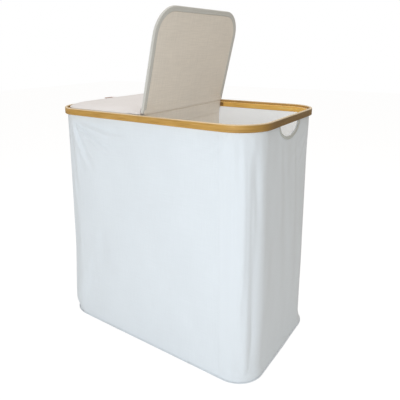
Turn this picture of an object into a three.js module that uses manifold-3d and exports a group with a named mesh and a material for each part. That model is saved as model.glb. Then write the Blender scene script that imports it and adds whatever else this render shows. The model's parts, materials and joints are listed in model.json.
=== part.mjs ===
// A laundry hamper: two cloth bins side by side under one bamboo rim, with a hinged lid over each.
// Millimetres, +Z up. It stands on z = 0 with the origin under its middle, and the front faces -Y.
// The right lid stands open and the left lid is closed. Both hinge along Y at the middle.

import * as THREE from 'three';
import { mergeVertices } from 'three/addons/utils/BufferGeometryUtils.js';
import Module from 'manifold-3d';

const wasm = await Module();
wasm.setup();

// Rim: an outer and an inner bamboo hoop with the top of the cloth body pinched between them
const RIM_WIDTH = 606;
const RIM_DEPTH = 386;
const RIM_TOP = 615;
const RIM_CORNER = 79;
const OUTER_HOOP_THICKNESS = 6.4;
const OUTER_HOOP_HEIGHT = 17;
const INNER_HOOP_THICKNESS = 4.6;
const INNER_HOOP_HEIGHT = 14;
const LEDGE_DROP = 6;
const HOOP_ROUNDING = 1.1;

// Cloth body: nearly upright walls. Its base is a little smaller than the rim, with tighter corners,
// and the seams run down the front and back just before the rim's corners begin.
const BODY_CLOTH = 1.2;
const BASE_NARROWER = 4;
const BASE_LESS_DEEP = 14;
const BASE_CORNER_TIGHTER = 11;
const SEAM_FROM_CORNER = 10;
const BOTTOM_CLOTH = 1.5;
const PIPING_DIAMETER = 2.4;
const PIPING_LIFT = 0.5;

// Hand holes, D-shaped, with their straight side under the rim
const HAND_HOLE_WIDTH = 114;
const HAND_HOLE_HEIGHT = 33;
const HEM_WIDTH = 9;
const HEM_THICKNESS = 1;

// Inside: boards, lining, divider and centre bar
const BASE_BOARD_THICKNESS = 3;
const BASE_BOARD_PLAY = 0.8;
const LINING_CLOTH = 0.8;
const LINING_INSET = 4.5;
const LINING_CORNER_WIDER = 30;
const LINING_FUNNEL = 24;
const LINING_FOLD = 2;
const DIVIDER_THICKNESS = 6;
const BAR_WIDTH = 8;
const BAR_HEIGHT = 14;
const BAR_SLEEVE_CLOTH = 1.2;

// Brackets that hold the centre bar's ends and bridge the joints of the inner hoop
const BRACKET_LENGTH = 34;
const BRACKET_HEIGHT = 10;
const BRACKET_THICKNESS = 1.2;
const SCREW_RADIUS = 1.5;
const SCREW_HEAD_RADIUS = 2.9;
const SCREW_HEAD_HEIGHT = 1.4;

// Corner poles with their sleeves and foot sockets
const POLE_RADIUS = 3.5;
const SLEEVE_PLAY = 0.4;
const SLEEVE_CLOTH = 1;
const SOCKET_PLAY = 0.5;
const SOCKET_WALL = 1.4;
const SOCKET_HEIGHT = 14;
const SOCKET_FLOOR = 2;
const SLEEVE_TOP_DROP = 46;

// Lids: a board between a cloth cover and a lining panel, with room for fingers at the free end. Both are
// alike, and a cloth flap joins each to the middle. The closed left lid's flap lies flat, and the open right
// lid has drawn its own in, so that it stands close to the middle.
const LID_END_GAP = 16.2;
const LID_SIDE_GAP = 2.6;
const LID_THICKNESS = 7.5;
const LID_CORNER_TIGHTER = 12;
const LID_HINGE_CORNER = 5;
const LID_ROUNDING = 1.6;
const LID_MARGIN = 12;
const LID_LINING_CLOTH = 1.5;
const LID_BOARD_THICKNESS = 3;
const LID_CROWN = 3.5;
const LID_CROWN_RUN = 50;
const LEFT_HINGE_FROM_MIDDLE = 24;
const RIGHT_HINGE_FROM_MIDDLE = 1.5;
const HINGE_CLOTH = 2;
const RIGHT_LID_OPEN_DEGREES = 77;
const TAB_WIDTH = 30;
const TAB_LENGTH = 17;
const TAB_THICKNESS = 2;
const TAB_FROM_EDGE = 4;

// Pieces that touch or cut each other keep this gap
const FIT_GAP = 0.3;
// Cutting shapes run past what they cut by this much
const OVERRUN = 20;

// Facets of one rounded corner, of a small round piece and of a hand hole's curve
const CORNER_STEPS = 10;
const ROUND_SIDES = 16;
const HOLE_STEPS = 24;

// Places worked out from the sizes above
const OUTER_HOOP_LOW = RIM_TOP - OUTER_HOOP_HEIGHT;
const LEDGE = RIM_TOP - LEDGE_DROP;
const INNER_HOOP_LOW = LEDGE - INNER_HOOP_HEIGHT;
const BODY_INSET = OUTER_HOOP_THICKNESS + FIT_GAP;
const INNER_HOOP_INSET = BODY_INSET + BODY_CLOTH + FIT_GAP;
const RIM_INSET = INNER_HOOP_INSET + INNER_HOOP_THICKNESS;
const RIM_HALF_DEPTH_INSIDE = RIM_DEPTH / 2 - RIM_INSET;
const BASE_WIDTH = RIM_WIDTH - BASE_NARROWER;
const BASE_DEPTH = RIM_DEPTH - BASE_LESS_DEEP;
const BASE_CORNER = RIM_CORNER - BASE_CORNER_TIGHTER;
const SEAM_FROM_MIDDLE = RIM_WIDTH / 2 - RIM_CORNER - SEAM_FROM_CORNER;
const BODY_LOW = BOTTOM_CLOTH + FIT_GAP;
const BODY_TOP = LEDGE - FIT_GAP;
const BOARD_TOP = BODY_LOW + BASE_BOARD_THICKNESS;
const FLOOR = BOARD_TOP + FIT_GAP;
const LINING_TOP = INNER_HOOP_LOW - FIT_GAP;
const LINING_CORNER = BASE_CORNER + LINING_CORNER_WIDER;
const BAR_LOW = LEDGE - BAR_HEIGHT;
const BAR_HALF_LENGTH = RIM_HALF_DEPTH_INSIDE - BRACKET_THICKNESS - 2 * FIT_GAP;
const SCREW_FROM_MIDDLE = BRACKET_LENGTH / 3;
const SCREW_HEIGHT = LEDGE - INNER_HOOP_HEIGHT / 2;
const SLEEVE_HALF_WIDTH = BAR_WIDTH / 2 + FIT_GAP + BAR_SLEEVE_CLOTH;
const BAR_SLEEVE_LOW = BAR_LOW - FIT_GAP - BAR_SLEEVE_CLOTH;
const LID_HALF_WIDTH = RIM_DEPTH / 2 - OUTER_HOOP_THICKNESS - LID_SIDE_GAP;
const LID_LENGTH = RIM_WIDTH / 2 - RIM_INSET - LID_END_GAP - LEFT_HINGE_FROM_MIDDLE;
const LID_CORNER = RIM_CORNER - LID_CORNER_TIGHTER;
const HINGE_HEIGHT = LEDGE + FIT_GAP + LID_THICKNESS;
const HAND_HOLE_TOP = OUTER_HOOP_LOW - FIT_GAP;
const SOCKET_BORE = POLE_RADIUS + SOCKET_PLAY;
const SOCKET_RADIUS = SOCKET_BORE + SOCKET_WALL;
const POLE_INSET = BODY_CLOTH + FIT_GAP + SOCKET_RADIUS;

// Colours
const BAMBOO = 0xc29248;
const WHITE_CLOTH = 0xdfe6ec;
const BEIGE_CLOTH = 0xbab1a5;
const LID_CLOTH = 0xe2dedf;
const HEM_CLOTH = 0xa8aaa5;
const LINING_WHITE = 0xe4e9ee;
const BOARD_BROWN = 0x8d7a62;
const POLE_WHITE = 0xd8d8d2;
const SOCKET_GREY = 0x9a9c9e;
const STEEL = 0xb4b6b8;
const TAB_TAN = 0xd9bfb4;

const hamper = new THREE.Group();

function material(color, roughness, metalness = 0) {
  return new THREE.MeshStandardMaterial({ color, roughness, metalness });
}

function add(group, name, geometry, surface) {
  const mesh = new THREE.Mesh(geometry, surface);
  mesh.name = name;
  group.add(mesh);
  return mesh;
}

// Everything made for the right half serves the left half after half a turn about Z
function halfTurned() {
  const group = new THREE.Group();
  group.rotation.z = Math.PI;
  hamper.add(group);
  return group;
}

function sides() {
  return [['right', hamper], ['left', halfTurned()]];
}

// Plan sizes of the rim, and of the cloth body at a height: its walls lean out from the rim down to the base
function rimPlan() {
  return { halfWidth: RIM_WIDTH / 2, halfDepth: RIM_DEPTH / 2, corner: RIM_CORNER };
}

function bodyPlan(height) {
  const down = THREE.MathUtils.clamp(1 - height / OUTER_HOOP_LOW, 0, 1);
  const mix = THREE.MathUtils.lerp;
  return {
    halfWidth: mix(RIM_WIDTH / 2 - BODY_INSET, BASE_WIDTH / 2, down),
    halfDepth: mix(RIM_DEPTH / 2 - BODY_INSET, BASE_DEPTH / 2, down),
    corner: mix(RIM_CORNER - BODY_INSET, BASE_CORNER, down),
  };
}

// A quarter circle of points round a centre, starting at the given quarter turn
function arc(x, y, radius, quarter) {
  const points = [];
  for (let i = 0; i <= CORNER_STEPS; i++) {
    const angle = (quarter + i / CORNER_STEPS) * Math.PI / 2;
    points.push([x + radius * Math.cos(angle), y + radius * Math.sin(angle)]);
  }
  return points;
}

// The right end's outline in plan, from x = start at the front, round both corners, to the back
function endPath(plan, inset, start) {
  const x = plan.halfWidth - plan.corner;
  const y = plan.halfDepth - plan.corner;
  const radius = plan.corner - inset;
  const middle = [...arc(x, -y, radius, -1), ...arc(x, y, radius, 0)];
  return [[start, inset - plan.halfDepth], ...middle, [start, plan.halfDepth - inset]];
}

// The whole outline in plan, as a closed loop
function wholePath(plan, inset) {
  const right = endPath(plan, inset, 0).slice(1, -1);
  return [...right, ...right.map(([x, y]) => [-x, -y])];
}

// A rectangle with one radius at its low-x corners and another at its high-x corners
function panelPath(lowX, highX, halfWidth, lowCorner, highCorner) {
  return [
    ...arc(lowX + lowCorner, lowCorner - halfWidth, lowCorner, 2),
    ...arc(highX - highCorner, highCorner - halfWidth, highCorner, 3),
    ...arc(highX - highCorner, halfWidth - highCorner, highCorner, 0),
    ...arc(lowX + lowCorner, halfWidth - lowCorner, lowCorner, 1),
  ];
}

// A closed mesh with its faces turned outwards
function meshOf(points, faces) {
  let volume = 0;
  const corner = [0, 1, 2].map(() => new THREE.Vector3());
  for (const face of faces) {
    face.forEach((v, k) => corner[k].fromArray(points[v]));
    volume += corner[0].dot(corner[1].cross(corner[2]));
  }
  const outward = volume > 0 ? faces : faces.map(([a, b, c]) => [a, c, b]);
  const geometry = new THREE.BufferGeometry();
  geometry.setAttribute('position', new THREE.Float32BufferAttribute(points.flat(), 3));
  geometry.setIndex(outward.flat());
  return geometry;
}

// Quads between neighbouring rings of equal length
function skin(rings, size, ringsClose, pathCloses) {
  const faces = [];
  for (let r = 0; r < (ringsClose ? rings : rings - 1); r++) {
    for (let p = 0; p < (pathCloses ? size : size - 1); p++) {
      const [a, b] = [r * size + p, r * size + (p + 1) % size];
      const [c, d] = [((r + 1) % rings) * size + p, ((r + 1) % rings) * size + (p + 1) % size];
      faces.push([a, b, d], [a, d, c]);
    }
  }
  return faces;
}

// Carries a section, a closed loop of [inset, height] points, along an open path and closes both ends
function strip(pathAt, section) {
  const rings = section.map(([inset, z]) => pathAt(inset, z).map(([x, y]) => [x, y, z]));
  const size = rings[0].length;
  const faces = skin(rings.length, size, true, false);
  const outline = section.map(([inset, z]) => new THREE.Vector2(inset, z));
  const turn = THREE.ShapeUtils.area(outline);
  for (const triangle of THREE.ShapeUtils.triangulateShape(outline, [])) {
    const alike = THREE.ShapeUtils.area(triangle.map((i) => outline[i])) * turn > 0;
    const [a, b, c] = alike ? triangle : triangle.toReversed();
    const last = size - 1;
    faces.push([a * size, b * size, c * size], [c * size + last, b * size + last, a * size + last]);
  }
  return meshOf(rings.flat(), faces);
}

// Carries a closed section round a closed path
function ring(pathAt, section) {
  const rings = section.map(([inset, z]) => pathAt(inset, z).map(([x, y]) => [x, y, z]));
  return meshOf(rings.flat(), skin(rings.length, rings[0].length, true, true));
}

// Stacks convex rings, given as [inset, height], and closes the first and the last with flat faces
function stack(pathAt, profile) {
  const rings = profile.map(([inset, z]) => pathAt(inset, z).map(([x, y]) => [x, y, z]));
  const size = rings[0].length;
  const faces = skin(rings.length, size, false, true);
  const last = (rings.length - 1) * size;
  for (let p = 1; p < size - 1; p++) {
    faces.push([0, p + 1, p], [last, last + p, last + p + 1]);
  }
  return meshOf(rings.flat(), faces);
}

// A flat plate with the given outline, from low to low + thickness
function plate(outline, low, thickness) {
  const shape = new THREE.Shape(outline.map(([x, y]) => new THREE.Vector2(x, y)));
  const geometry = new THREE.ExtrudeGeometry(shape, { depth: thickness, bevelEnabled: false });
  return geometry.translate(0, 0, low);
}

function block(lowX, highX, halfWidth, lowZ, highZ) {
  const geometry = new THREE.BoxGeometry(highX - lowX, 2 * halfWidth, highZ - lowZ);
  return geometry.translate((lowX + highX) / 2, 0, (lowZ + highZ) / 2);
}

// A turned piece about Z from [radius, height] points that start and end on the axis
function turned(profile) {
  const points = profile.map(([radius, z]) => new THREE.Vector2(radius, z));
  return new THREE.LatheGeometry(points, ROUND_SIDES).rotateX(Math.PI / 2);
}

function toManifold(geometry) {
  const bare = geometry.clone();
  bare.deleteAttribute('normal');
  bare.deleteAttribute('uv');
  const merged = mergeVertices(bare);
  const index = merged.index.array;
  const triVerts = [];
  for (let i = 0; i < index.length; i += 3) {
    const [a, b, c] = [index[i], index[i + 1], index[i + 2]];
    if (a !== b && b !== c && c !== a) triVerts.push(a, b, c);
  }
  const vertProperties = new Float32Array(merged.attributes.position.array);
  const mesh = new wasm.Mesh({ numProp: 3, vertProperties, triVerts: new Uint32Array(triVerts) });
  return new wasm.Manifold(mesh);
}

function fromManifold(solid) {
  const mesh = solid.getMesh();
  const geometry = new THREE.BufferGeometry();
  geometry.setAttribute('position', new THREE.Float32BufferAttribute(mesh.vertProperties, 3));
  geometry.setIndex([...mesh.triVerts]);
  return geometry;
}

function cut(geometry, ...tools) {
  return fromManifold(tools.reduce((solid, tool) => solid.subtract(toManifold(tool)), toManifold(geometry)));
}

function common(geometry, tool) {
  return fromManifold(toManifold(geometry).intersect(toManifold(tool)));
}

// A section with rounded-off corners on the sides that show, listed from the outer low corner
function hoopSection(outer, thickness, low, high) {
  const inner = outer + thickness;
  const r = HOOP_ROUNDING;
  return [
    [outer + r, low], [outer, low + r], [outer, high - r], [outer + r, high],
    [inner - r, high], [inner, high - r], [inner, low + r], [inner - r, low],
  ];
}

// The D-shaped hand hole in the plane of the end wall, grown by a margin, as [y, z] points
function handHoleOutline(margin) {
  const points = [];
  for (let i = 0; i <= HOLE_STEPS; i++) {
    const angle = Math.PI * i / HOLE_STEPS;
    const y = (HAND_HOLE_WIDTH / 2 + margin) * Math.cos(angle);
    points.push([y, HAND_HOLE_TOP - (HAND_HOLE_HEIGHT + margin) * Math.sin(angle)]);
  }
  return points;
}

// A prism along X through the right end wall, from an outline of [y, z] points
function throughEnd(outline) {
  const start = RIM_WIDTH / 2 - RIM_CORNER;
  const prism = plate(outline, start, RIM_CORNER + OVERRUN);
  const yzx = new THREE.Matrix4().makeBasis(
    new THREE.Vector3(0, 1, 0), new THREE.Vector3(0, 0, 1), new THREE.Vector3(1, 0, 0));
  return prism.applyMatrix4(yzx);
}

// A round cutter along Y at a screw's place
function screwHole(x, z) {
  const length = RIM_DEPTH / 2 - OUTER_HOOP_THICKNESS;
  const radius = SCREW_RADIUS + FIT_GAP;
  const hole = new THREE.CylinderGeometry(radius, radius, length, ROUND_SIDES);
  return hole.translate(x, -length / 2, z);
}

function makeRim() {
  const bamboo = material(BAMBOO, 0.45);
  const path = (inset) => endPath(rimPlan(), inset, FIT_GAP / 2);
  const outer = strip(path, hoopSection(0, OUTER_HOOP_THICKNESS, OUTER_HOOP_LOW, RIM_TOP));
  const plain = strip(path, hoopSection(INNER_HOOP_INSET, INNER_HOOP_THICKNESS, INNER_HOOP_LOW, LEDGE));
  const front = screwHole(SCREW_FROM_MIDDLE, SCREW_HEIGHT);
  const back = screwHole(-SCREW_FROM_MIDDLE, SCREW_HEIGHT).rotateZ(Math.PI);
  const inner = cut(plain, front, back);
  for (const [side, group] of sides()) {
    add(group, `rim_outer_hoop_${side}`, outer, bamboo.clone());
    add(group, `rim_inner_hoop_${side}`, inner, bamboo.clone());
  }
}

// Outer face, then inner face, of a cloth wall that follows the body's lean
function wallSection(outer, thickness) {
  const inner = outer + thickness;
  const levels = [BODY_LOW, OUTER_HOOP_LOW, BODY_TOP];
  return [...levels.map((z) => [outer, z]), ...levels.reverse().map((z) => [inner, z])];
}

function makeBody() {
  const cloth = material(WHITE_CLOTH, 0.9);
  const section = wallSection(0, BODY_CLOTH);
  const end = SEAM_FROM_MIDDLE - FIT_GAP / 2;
  const flat = (inset, z) => [-end, end].map((x) => [x, inset - bodyPlan(z).halfDepth]);
  const panel = strip(flat, section);
  const round = (inset, z) => endPath(bodyPlan(z), inset, SEAM_FROM_MIDDLE + FIT_GAP / 2);
  const wall = cut(strip(round, section), throughEnd(handHoleOutline(0)));
  for (const [side, group] of sides()) {
    add(group, side === 'right' ? 'front_panel' : 'back_panel', panel, cloth.clone());
    add(group, `${side}_end_panel`, wall, cloth.clone());
  }
}

function makeHems() {
  const hem = material(HEM_CLOTH, 0.9);
  const outer = handHoleOutline(HEM_WIDTH);
  const band = [...outer, ...handHoleOutline(0).reverse()];
  const half = HAND_HOLE_WIDTH / 2 + HEM_WIDTH + OVERRUN;
  const face = (inset, z) => [-half, half].map((y) => [bodyPlan(z).halfWidth - inset, y]);
  const low = HAND_HOLE_TOP - HAND_HOLE_HEIGHT - HEM_WIDTH - OVERRUN;
  const out = -FIT_GAP - HEM_THICKNESS;
  const sheet = strip(face, [[out, low], [out, OUTER_HOOP_LOW], [-FIT_GAP, OUTER_HOOP_LOW], [-FIT_GAP, low]]);
  const shape = common(sheet, throughEnd(band));
  for (const [side, group] of sides()) add(group, `${side}_hand_hole_hem`, shape, hem.clone());
}

function makeBottom() {
  const cloth = material(WHITE_CLOTH, 0.9);
  const plan = bodyPlan(0);
  add(hamper, 'bottom_cloth', plate(wholePath(plan, 0), 0, BOTTOM_CLOTH), cloth);
  const radius = PIPING_DIAMETER / 2;
  const section = [];
  for (let i = 0; i < ROUND_SIDES / 2; i++) {
    const angle = 4 * Math.PI * i / ROUND_SIDES;
    const out = -FIT_GAP - radius + radius * Math.cos(angle);
    section.push([out, PIPING_LIFT + radius + radius * Math.sin(angle)]);
  }
  add(hamper, 'bottom_piping', ring((inset) => wholePath(plan, inset), section), cloth.clone());
  const board = material(BOARD_BROWN, 0.85);
  const outline = endPath(plan, BODY_CLOTH + BASE_BOARD_PLAY, FIT_GAP / 2);
  const shape = plate(outline, BODY_LOW, BASE_BOARD_THICKNESS);
  for (const [side, group] of sides()) add(group, `${side}_base_board`, shape, board.clone());
}

// Each bin's lining has a floor and three walls. The divider is its fourth side.
function makeLinings() {
  const cloth = material(LINING_WHITE, 0.85);
  const funnelLow = LINING_TOP - LINING_FUNNEL;
  const path = (inset, z) => {
    const plan = bodyPlan(z);
    const corner = z > funnelLow ? plan.corner - inset : LINING_CORNER - inset;
    return panelPath(FIT_GAP / 2, plan.halfWidth - inset, plan.halfDepth - inset, LINING_FOLD, corner);
  };
  const [outer, inner] = [LINING_INSET, LINING_INSET + LINING_CLOTH];
  const bag = stack(path, [
    [outer, FLOOR], [outer, funnelLow], [outer, LINING_TOP],
    [inner, LINING_TOP], [inner, funnelLow], [inner, FLOOR + LINING_CLOTH],
  ]);
  const past = DIVIDER_THICKNESS / 2 + FIT_GAP;
  const dividerSide = block(-OVERRUN, past, dividerHalfLength() + FIT_GAP, -OVERRUN, RIM_TOP);
  const shape = cut(bag, dividerSide, throughEnd(handHoleOutline(0)));
  for (const [side, group] of sides()) add(group, `${side}_bin_lining`, shape, cloth.clone());
}

function dividerHalfLength() {
  return bodyPlan(RIM_TOP).halfDepth - LINING_INSET - LINING_CLOTH - 2 * FIT_GAP;
}

// The divider stands on the base boards and ends below the sleeve that holds the centre bar
function makeDivider() {
  const cloth = material(BEIGE_CLOTH, 0.9);
  const half = DIVIDER_THICKNESS / 2;
  const top = BAR_SLEEVE_LOW - FIT_GAP;
  add(hamper, 'divider', block(-half, half, dividerHalfLength(), FLOOR, top), cloth);
  const sleeve = block(-SLEEVE_HALF_WIDTH, SLEEVE_HALF_WIDTH, BAR_HALF_LENGTH, BAR_SLEEVE_LOW, LEDGE);
  const inside = SLEEVE_HALF_WIDTH - BAR_SLEEVE_CLOTH;
  const room = block(-inside, inside, RIM_DEPTH, BAR_LOW - FIT_GAP, RIM_TOP);
  add(hamper, 'centre_bar_sleeve', cut(sleeve, room), cloth.clone());
  const bar = block(-BAR_WIDTH / 2, BAR_WIDTH / 2, BAR_HALF_LENGTH, BAR_LOW, LEDGE);
  add(hamper, 'centre_bar', bar, material(BAMBOO, 0.5));
}

function makeBrackets() {
  const steel = material(STEEL, 0.35, 0.9);
  const face = -RIM_HALF_DEPTH_INSIDE + FIT_GAP;
  const flat = new THREE.BoxGeometry(BRACKET_LENGTH, BRACKET_THICKNESS, BRACKET_HEIGHT);
  flat.translate(0, face + BRACKET_THICKNESS / 2, SCREW_HEIGHT);
  const places = [-SCREW_FROM_MIDDLE, SCREW_FROM_MIDDLE];
  const bracket = cut(flat, ...places.map((x) => screwHole(x, SCREW_HEIGHT)));
  const shank = BRACKET_THICKNESS + FIT_GAP + INNER_HOOP_THICKNESS;
  const edge = SCREW_HEAD_HEIGHT / 2;
  const screw = turned([
    [0, -shank], [SCREW_RADIUS, -shank], [SCREW_RADIUS, 0], [SCREW_HEAD_RADIUS, 0],
    [SCREW_HEAD_RADIUS, edge], [SCREW_HEAD_RADIUS - edge, SCREW_HEAD_HEIGHT], [0, SCREW_HEAD_HEIGHT],
  ]).rotateX(-Math.PI / 2);
  const seat = face + BRACKET_THICKNESS + FIT_GAP;
  for (const [end, group] of [['front', hamper], ['back', halfTurned()]]) {
    add(group, `${end}_bracket`, bracket, steel.clone());
    places.forEach((x, i) => {
      const mesh = add(group, `${end}_bracket_screw_${i + 1}`, screw, steel.clone());
      mesh.position.set(x, seat, SCREW_HEIGHT);
    });
  }
}

// The place of a pole's axis at a height, in the middle of the given corner's curve
function polePlace(height, sideX, sideY) {
  const plan = bodyPlan(height);
  const reach = (plan.corner - POLE_INSET) * Math.SQRT1_2;
  const x = plan.halfWidth - plan.corner + reach;
  const y = plan.halfDepth - plan.corner + reach;
  return new THREE.Vector3(sideX * x, sideY * y, height);
}

// Moves a piece made along Z so that it runs from one point towards another
function aim(mesh, from, to) {
  mesh.position.copy(from);
  mesh.quaternion.setFromUnitVectors(new THREE.Vector3(0, 0, 1), to.clone().sub(from).normalize());
}

function makePoles() {
  const poleLow = FLOOR + SOCKET_FLOOR + FIT_GAP;
  const sleeveLow = FLOOR + SOCKET_HEIGHT + SOCKET_FLOOR;
  const sleeveTop = RIM_TOP - SLEEVE_TOP_DROP;
  const sleeveLength = sleeveTop - sleeveLow;
  const poleLength = sleeveTop - SLEEVE_CLOTH - FIT_GAP - poleLow;
  const edge = POLE_RADIUS / 5;
  const pole = turned([
    [0, 0], [POLE_RADIUS - edge, 0], [POLE_RADIUS, edge], [POLE_RADIUS, poleLength - edge],
    [POLE_RADIUS - edge, poleLength], [0, poleLength],
  ]);
  const bore = POLE_RADIUS + SLEEVE_PLAY;
  const outside = bore + SLEEVE_CLOTH;
  const ceiling = sleeveLength - SLEEVE_CLOTH;
  const sleeve = turned([
    [0, ceiling], [bore, ceiling], [bore, 0], [outside, 0], [outside, sleeveLength], [0, sleeveLength],
  ]);
  const socket = turned([[0, 0], [SOCKET_RADIUS, 0], [SOCKET_RADIUS, SOCKET_HEIGHT], [0, SOCKET_HEIGHT]]);
  const drill = turned([[0, 0], [SOCKET_BORE, 0], [SOCKET_BORE, OVERRUN], [0, OVERRUN]]);
  for (const [end, sideY] of [['front', -1], ['back', 1]]) {
    for (const [side, sideX] of [['left', -1], ['right', 1]]) {
      const name = `${end}_${side}`;
      const at = (height) => polePlace(height, sideX, sideY);
      aim(add(hamper, `${name}_pole`, pole, material(POLE_WHITE, 0.5)), at(poleLow), at(sleeveTop));
      const tube = add(hamper, `${name}_pole_sleeve`, sleeve, material(WHITE_CLOTH, 0.9));
      aim(tube, at(sleeveLow), at(sleeveTop));
      // The hole in the upright socket follows the lean of its pole
      const foot = at(FLOOR);
      const hole = new THREE.Mesh(drill);
      aim(hole, at(FLOOR + SOCKET_FLOOR).sub(foot), at(sleeveTop).sub(foot));
      hole.updateMatrix();
      const drilled = cut(socket, drill.clone().applyMatrix4(hole.matrix));
      add(hamper, `${name}_pole_socket`, drilled, material(SOCKET_GREY, 0.6)).position.copy(foot);
    }
  }
}

// A lid in its own frame: the hinge line is the Y axis, the lid runs along +X and its top edge is at z = 0.
// The edge along the hinge stays square, so that it meets the hinge cloth at every angle.
function lidPath(inset) {
  const low = FIT_GAP + Math.max(inset - LID_ROUNDING, 0);
  const lowCorner = Math.max(LID_HINGE_CORNER - inset, LID_HINGE_CORNER / 5);
  return panelPath(low, LID_LENGTH - inset, LID_HALF_WIDTH - inset, lowCorner, LID_CORNER - inset);
}

function lidPieces() {
  const pocket = LID_LINING_CLOTH + LID_BOARD_THICKNESS + 2 * FIT_GAP;
  const low = -LID_THICKNESS;
  const r = LID_ROUNDING;
  const shoulder = [LID_CROWN_RUN / 2, 3 * LID_CROWN / 4];
  const cover = stack(lidPath, [
    [LID_MARGIN, low + pocket], [LID_MARGIN, low], [r, low], [0, low + r], [0, -r], [r, 0],
    shoulder, [LID_CROWN_RUN, LID_CROWN],
  ]);
  const panel = lidPath(LID_MARGIN + FIT_GAP);
  const lining = plate(panel, low, LID_LINING_CLOTH);
  const board = plate(panel, low + LID_LINING_CLOTH + FIT_GAP, LID_BOARD_THICKNESS);
  const slope = Math.atan2(shoulder[1], shoulder[0] - r);
  const tabOutline = panelPath(-TAB_LENGTH, 0, TAB_WIDTH / 2, TAB_THICKNESS, TAB_THICKNESS);
  const tab = plate(tabOutline, FIT_GAP, TAB_THICKNESS).rotateY(slope);
  tab.translate(LID_LENGTH - TAB_FROM_EDGE, 0, (TAB_FROM_EDGE - r) * Math.tan(slope));
  return { cover, lining, board, tab };
}

// A web that stands on the bar's sleeve, and a flap that lies level from its top out to the lid's edge
function hingeCloth(hingeFromMiddle) {
  const reach = hingeFromMiddle - FIT_GAP;
  const whole = block(FIT_GAP / 2, reach, LID_HALF_WIDTH, LEDGE + FIT_GAP, HINGE_HEIGHT);
  const foot = RIGHT_HINGE_FROM_MIDDLE - FIT_GAP;
  return cut(whole, block(foot, RIM_WIDTH, RIM_DEPTH, 0, HINGE_HEIGHT - HINGE_CLOTH));
}

function makeLids() {
  const { cover, lining, board, tab } = lidPieces();
  for (const [side, half] of sides()) {
    const hingeFromMiddle = side === 'right' ? RIGHT_HINGE_FROM_MIDDLE : LEFT_HINGE_FROM_MIDDLE;
    const lid = new THREE.Group();
    lid.position.set(hingeFromMiddle, 0, HINGE_HEIGHT);
    if (side === 'right') lid.rotation.y = -THREE.MathUtils.degToRad(RIGHT_LID_OPEN_DEGREES);
    half.add(lid);
    add(lid, `${side}_lid_cover`, cover, material(LID_CLOTH, 0.9));
    add(lid, `${side}_lid_lining`, lining, material(BEIGE_CLOTH, 0.9));
    add(lid, `${side}_lid_board`, board, material(BOARD_BROWN, 0.85));
    add(lid, `${side}_lid_tab`, tab, material(TAB_TAN, 0.8));
    add(half, `${side}_lid_hinge_cloth`, hingeCloth(hingeFromMiddle), material(LID_CLOTH, 0.9));
  }
}

makeRim();
makeBody();
makeHems();
makeBottom();
makeLinings();
makeDivider();
makeBrackets();
makePoles();
makeLids();

export default hamper;
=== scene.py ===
"""The finished look of a laundry hamper with two bins, built round its construction model.

Metres, +Z up. It stands on z = 0 and its front faces -Y. The right lid stands open.
Places along the cloth wall are given as s: the distance round the wall from the middle of the front,
anticlockwise seen from above, on a wall of reference length. z is the height and out is outwards.
"""

import json
import math

import bmesh
import bpy
import numpy as np
from bpy.props import FloatProperty, FloatVectorProperty, PointerProperty
from bpy.types import Operator, Panel, PropertyGroup
from mathutils import Matrix, Vector


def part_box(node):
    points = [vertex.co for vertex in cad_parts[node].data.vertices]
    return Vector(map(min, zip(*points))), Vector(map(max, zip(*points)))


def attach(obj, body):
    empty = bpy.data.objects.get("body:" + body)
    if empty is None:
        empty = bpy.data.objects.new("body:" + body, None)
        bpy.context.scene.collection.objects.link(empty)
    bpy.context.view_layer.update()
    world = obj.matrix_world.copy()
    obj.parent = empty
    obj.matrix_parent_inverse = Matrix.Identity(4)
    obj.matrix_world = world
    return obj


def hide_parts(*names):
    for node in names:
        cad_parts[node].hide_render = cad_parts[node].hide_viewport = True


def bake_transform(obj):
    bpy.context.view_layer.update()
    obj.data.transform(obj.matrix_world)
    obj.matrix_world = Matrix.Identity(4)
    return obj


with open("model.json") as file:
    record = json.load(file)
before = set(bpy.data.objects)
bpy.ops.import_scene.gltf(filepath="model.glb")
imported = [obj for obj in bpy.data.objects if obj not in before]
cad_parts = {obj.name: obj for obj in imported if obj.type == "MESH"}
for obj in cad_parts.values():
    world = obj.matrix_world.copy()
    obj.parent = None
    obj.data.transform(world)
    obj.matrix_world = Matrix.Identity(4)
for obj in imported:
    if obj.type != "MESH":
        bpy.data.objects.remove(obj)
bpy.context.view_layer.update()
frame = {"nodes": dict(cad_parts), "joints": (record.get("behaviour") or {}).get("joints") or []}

bl_info = {
    "name": "Laundry hamper with two bins",
    "version": (1, 0, 0),
    "blender": (4, 5, 0),
    "location": "3D View > Sidebar > Hamper",
    "description": "Builds the finished look of a two-bin laundry hamper round its construction model",
    "category": "Add Mesh",
}

MM = 0.001

# Places read from the frame
RIM_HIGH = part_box("rim_outer_hoop_right")[1]
HOOP_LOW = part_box("rim_outer_hoop_right")[0].z
INNER_HOOP_LOW, INNER_HOOP_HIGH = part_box("rim_inner_hoop_right")
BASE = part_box("bottom_cloth")[1]
PANEL_LOW, PANEL_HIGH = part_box("front_panel")
LINING_LOW, LINING_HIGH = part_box("right_bin_lining")
DIVIDER_LOW, DIVIDER_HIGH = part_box("divider")
SLEEVE_LOW, SLEEVE_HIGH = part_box("centre_bar_sleeve")
HEM_LOW, HEM_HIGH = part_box("right_hand_hole_hem")
LEFT_LID_LOW, LEFT_LID_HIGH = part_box("left_lid_cover")
HINGE_LOW, HINGE_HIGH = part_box("right_lid_hinge_cloth")
PIPING_LOW, PIPING_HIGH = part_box("bottom_piping")
HINGES = {joint["child"]: joint for joint in frame["joints"]}
BODY = "hamper_body"
HALVES = (("right", 1), ("left", -1))


def length(name, description, default):
    return FloatProperty(name=name, description=description, default=default, unit="LENGTH", precision=5)


def plain(name, description, default):
    return FloatProperty(name=name, description=description, default=default, precision=4)


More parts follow.
